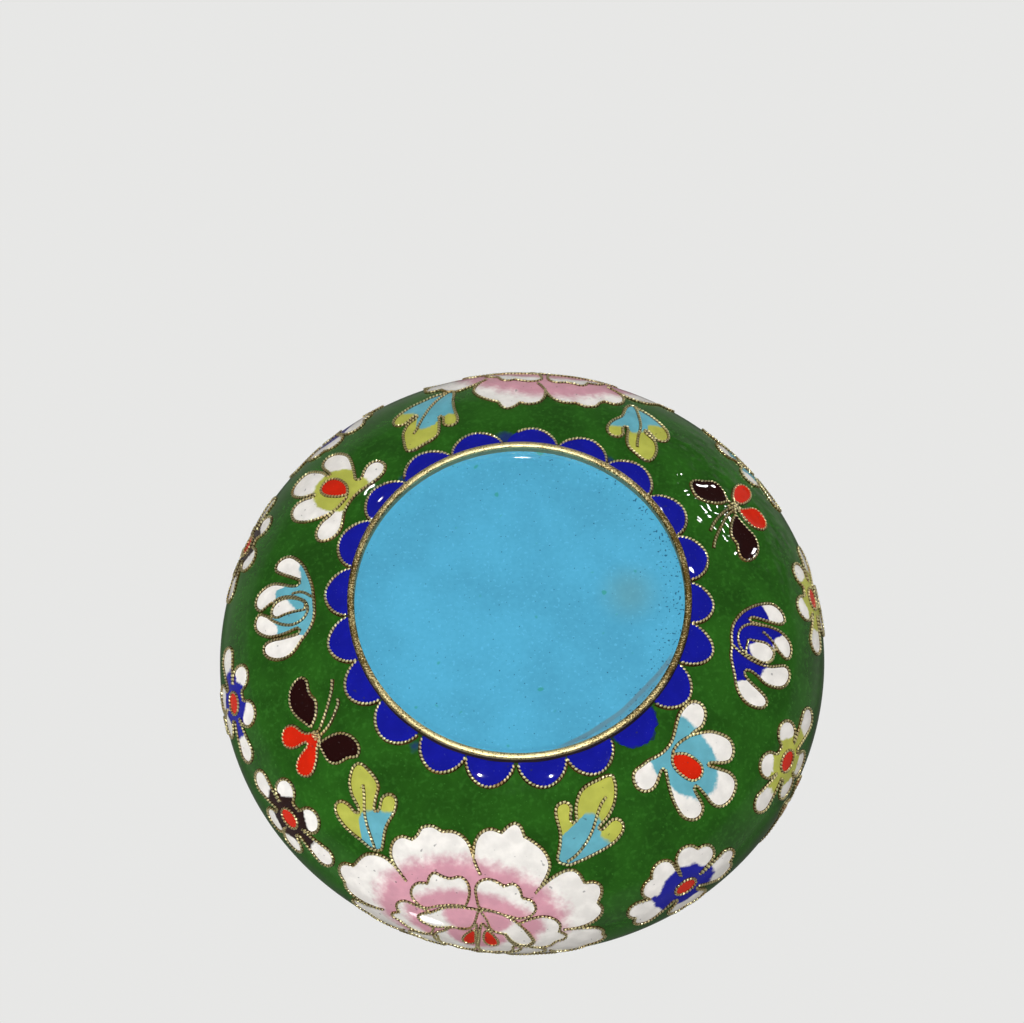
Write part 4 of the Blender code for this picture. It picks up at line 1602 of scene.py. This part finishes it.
class JarSizes(bpy.types.PropertyGroup):
    """Sizes of the jar's wire work and the number of its scallops."""

    wire_width: length_property("Wire width", "Width of the twisted wire across both strands", 0.4, 0.2, 1.0)
    wire_height: length_property(
        "Wire height", "Height of the wire's middle above the ground enamel", 0.15, 0.0, 0.5
    )
    bead_length: length_property(
        "Bead length", "Length of half a turn of the twisted wire, which shows as one bead", 0.62, 0.3, 2.0
    )
    scallops: IntProperty(
        name="Scallops",
        description="Number of cobalt scallops round the mouth",
        default=21,
        min=8,
        max=40,
    )


def colour_property(name, description, default):
    return FloatVectorProperty(
        name=name, description=description, default=default, min=0.0, max=1.0, size=3, subtype="COLOR"
    )


class JarColours(bpy.types.PropertyGroup):
    """Colours of the jar's enamels and gilding."""

    green: colour_property("Green", "Ground enamel of the body", (0.019, 0.105, 0.0075))
    turquoise: colour_property("Turquoise", "Base and inside", (0.09, 0.43, 0.66))
    aqua: colour_property("Aqua", "Leaves and petals", (0.14, 0.445, 0.55))
    cobalt: colour_property("Cobalt", "Scallops and petals", (0.006, 0.009, 0.33))
    white: colour_property("White", "Petal edges", (0.93, 0.9, 0.86))
    pink: colour_property("Pink", "Roots of the peony petals", (0.71, 0.35, 0.43))
    lime: colour_property("Lime", "Leaf tips and petals", (0.5, 0.52, 0.09))
    red: colour_property("Red", "Flower hearts and wings", (0.66, 0.019, 0.003))
    maroon: colour_property("Maroon", "Dark wings and petals", (0.016, 0.0016, 0.0016))
    gilt: colour_property("Gilt", "Wires and bands", (1.0, 0.9, 0.5))


class JAR_OT_body(bpy.types.Operator):
    """Build the enamelled body"""

    bl_idname = "jar.body"
    bl_label = "Body"

    def execute(self, context):
        build_body()
        return {"FINISHED"}


class JAR_OT_foot_ring(bpy.types.Operator):
    """Build the gilt foot ring"""

    bl_idname = "jar.foot_ring"
    bl_label = "Foot ring"

    def execute(self, context):
        build_foot_ring()
        return {"FINISHED"}


class JAR_OT_mouth_rim(bpy.types.Operator):
    """Build the gilt mouth rim"""

    bl_idname = "jar.mouth_rim"
    bl_label = "Mouth rim"

    def execute(self, context):
        build_mouth_rim()
        return {"FINISHED"}


class JAR_OT_scallops(bpy.types.Operator):
    """Build the scallop rings at the foot and the mouth"""

    bl_idname = "jar.scallops"
    bl_label = "Scallops"

    def execute(self, context):
        build_scallops()
        return {"FINISHED"}


class JAR_OT_leaves(bpy.types.Operator):
    """Build the trefoil leaves"""

    bl_idname = "jar.leaves"
    bl_label = "Leaves"

    def execute(self, context):
        build_motifs("leaves", LEAVES, leaf)
        return {"FINISHED"}


class JAR_OT_butterflies(bpy.types.Operator):
    """Build the butterflies"""

    bl_idname = "jar.butterflies"
    bl_label = "Butterflies"

    def execute(self, context):
        build_motifs("butterflies", BUTTERFLIES, butterfly, BUTTERFLY_FINENESS)
        return {"FINISHED"}


class JAR_OT_chrysanthemums(bpy.types.Operator):
    """Build the chrysanthemums seen from the side"""

    bl_idname = "jar.chrysanthemums"
    bl_label = "Chrysanthemums"

    def execute(self, context):
        build_motifs("chrysanthemums", CHRYSANTHEMUMS, chrysanthemum, CHRYSANTHEMUM_FINENESS)
        return {"FINISHED"}


class JAR_OT_side_flowers(bpy.types.Operator):
    """Build the five-petalled flowers seen from the side"""

    bl_idname = "jar.side_flowers"
    bl_label = "Side flowers"

    def execute(self, context):
        build_motifs("side_flowers", SIDE_FLOWERS, side_flower)
        return {"FINISHED"}


class JAR_OT_belt_flowers(bpy.types.Operator):
    """Build the open flowers round the widest part"""

    bl_idname = "jar.belt_flowers"
    bl_label = "Belt flowers"

    def execute(self, context):
        build_belt_flowers()
        return {"FINISHED"}


class JAR_OT_peonies(bpy.types.Operator):
    """Build the peonies"""

    bl_idname = "jar.peonies"
    bl_label = "Peonies"

    def execute(self, context):
        build_peonies()
        return {"FINISHED"}


class JAR_OT_shoulder(bpy.types.Operator):
    """Build the flowers, leaves and butterflies of the shoulder"""

    bl_idname = "jar.shoulder"
    bl_label = "Shoulder"

    def execute(self, context):
        build_shoulder()
        return {"FINISHED"}


class JAR_OT_stage(bpy.types.Operator):
    """Build the floor, the lights and the camera"""

    bl_idname = "jar.stage"
    bl_label = "Stage"

    def execute(self, context):
        build_stage()
        return {"FINISHED"}


OPERATORS = (
    JAR_OT_stage,
    JAR_OT_body,
    JAR_OT_foot_ring,
    JAR_OT_mouth_rim,
    JAR_OT_scallops,
    JAR_OT_leaves,
    JAR_OT_butterflies,
    JAR_OT_chrysanthemums,
    JAR_OT_side_flowers,
    JAR_OT_belt_flowers,
    JAR_OT_peonies,
    JAR_OT_shoulder,
)


class JAR_PT_panel(bpy.types.Panel):
    """Sizes, colours and buttons of the jar"""

    bl_idname = "JAR_PT_panel"
    bl_label = "Cloisonne Jar"
    bl_space_type = "VIEW_3D"
    bl_region_type = "UI"
    bl_category = "Jar"

    def draw(self, context):
        layout = self.layout
        for group in (context.scene.jar_sizes, context.scene.jar_colours):
            column = layout.column(align=True)
            for name in group.__annotations__:
                column.prop(group, name)
        column = layout.column(align=True)
        for operator in OPERATORS:
            column.operator(operator.bl_idname)


def register():
    for each in (JarSizes, JarColours, *OPERATORS, JAR_PT_panel):
        bpy.utils.register_class(each)
    bpy.types.Scene.jar_sizes = PointerProperty(type=JarSizes)
    bpy.types.Scene.jar_colours = PointerProperty(type=JarColours)


def unregister():
    del bpy.types.Scene.jar_colours
    del bpy.types.Scene.jar_sizes
    for each in reversed((JarSizes, JarColours, *OPERATORS, JAR_PT_panel)):
        bpy.utils.unregister_class(each)


def main():
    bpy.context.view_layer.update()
    register()
    bpy.ops.jar.stage()
    bpy.ops.jar.body()
    bpy.ops.jar.foot_ring()
    bpy.ops.jar.mouth_rim()
    bpy.ops.jar.scallops()
    bpy.ops.jar.leaves()
    bpy.ops.jar.butterflies()
    bpy.ops.jar.chrysanthemums()
    bpy.ops.jar.side_flowers()
    bpy.ops.jar.belt_flowers()
    bpy.ops.jar.peonies()
    bpy.ops.jar.shoulder()


if __name__ == "__main__":
    main()
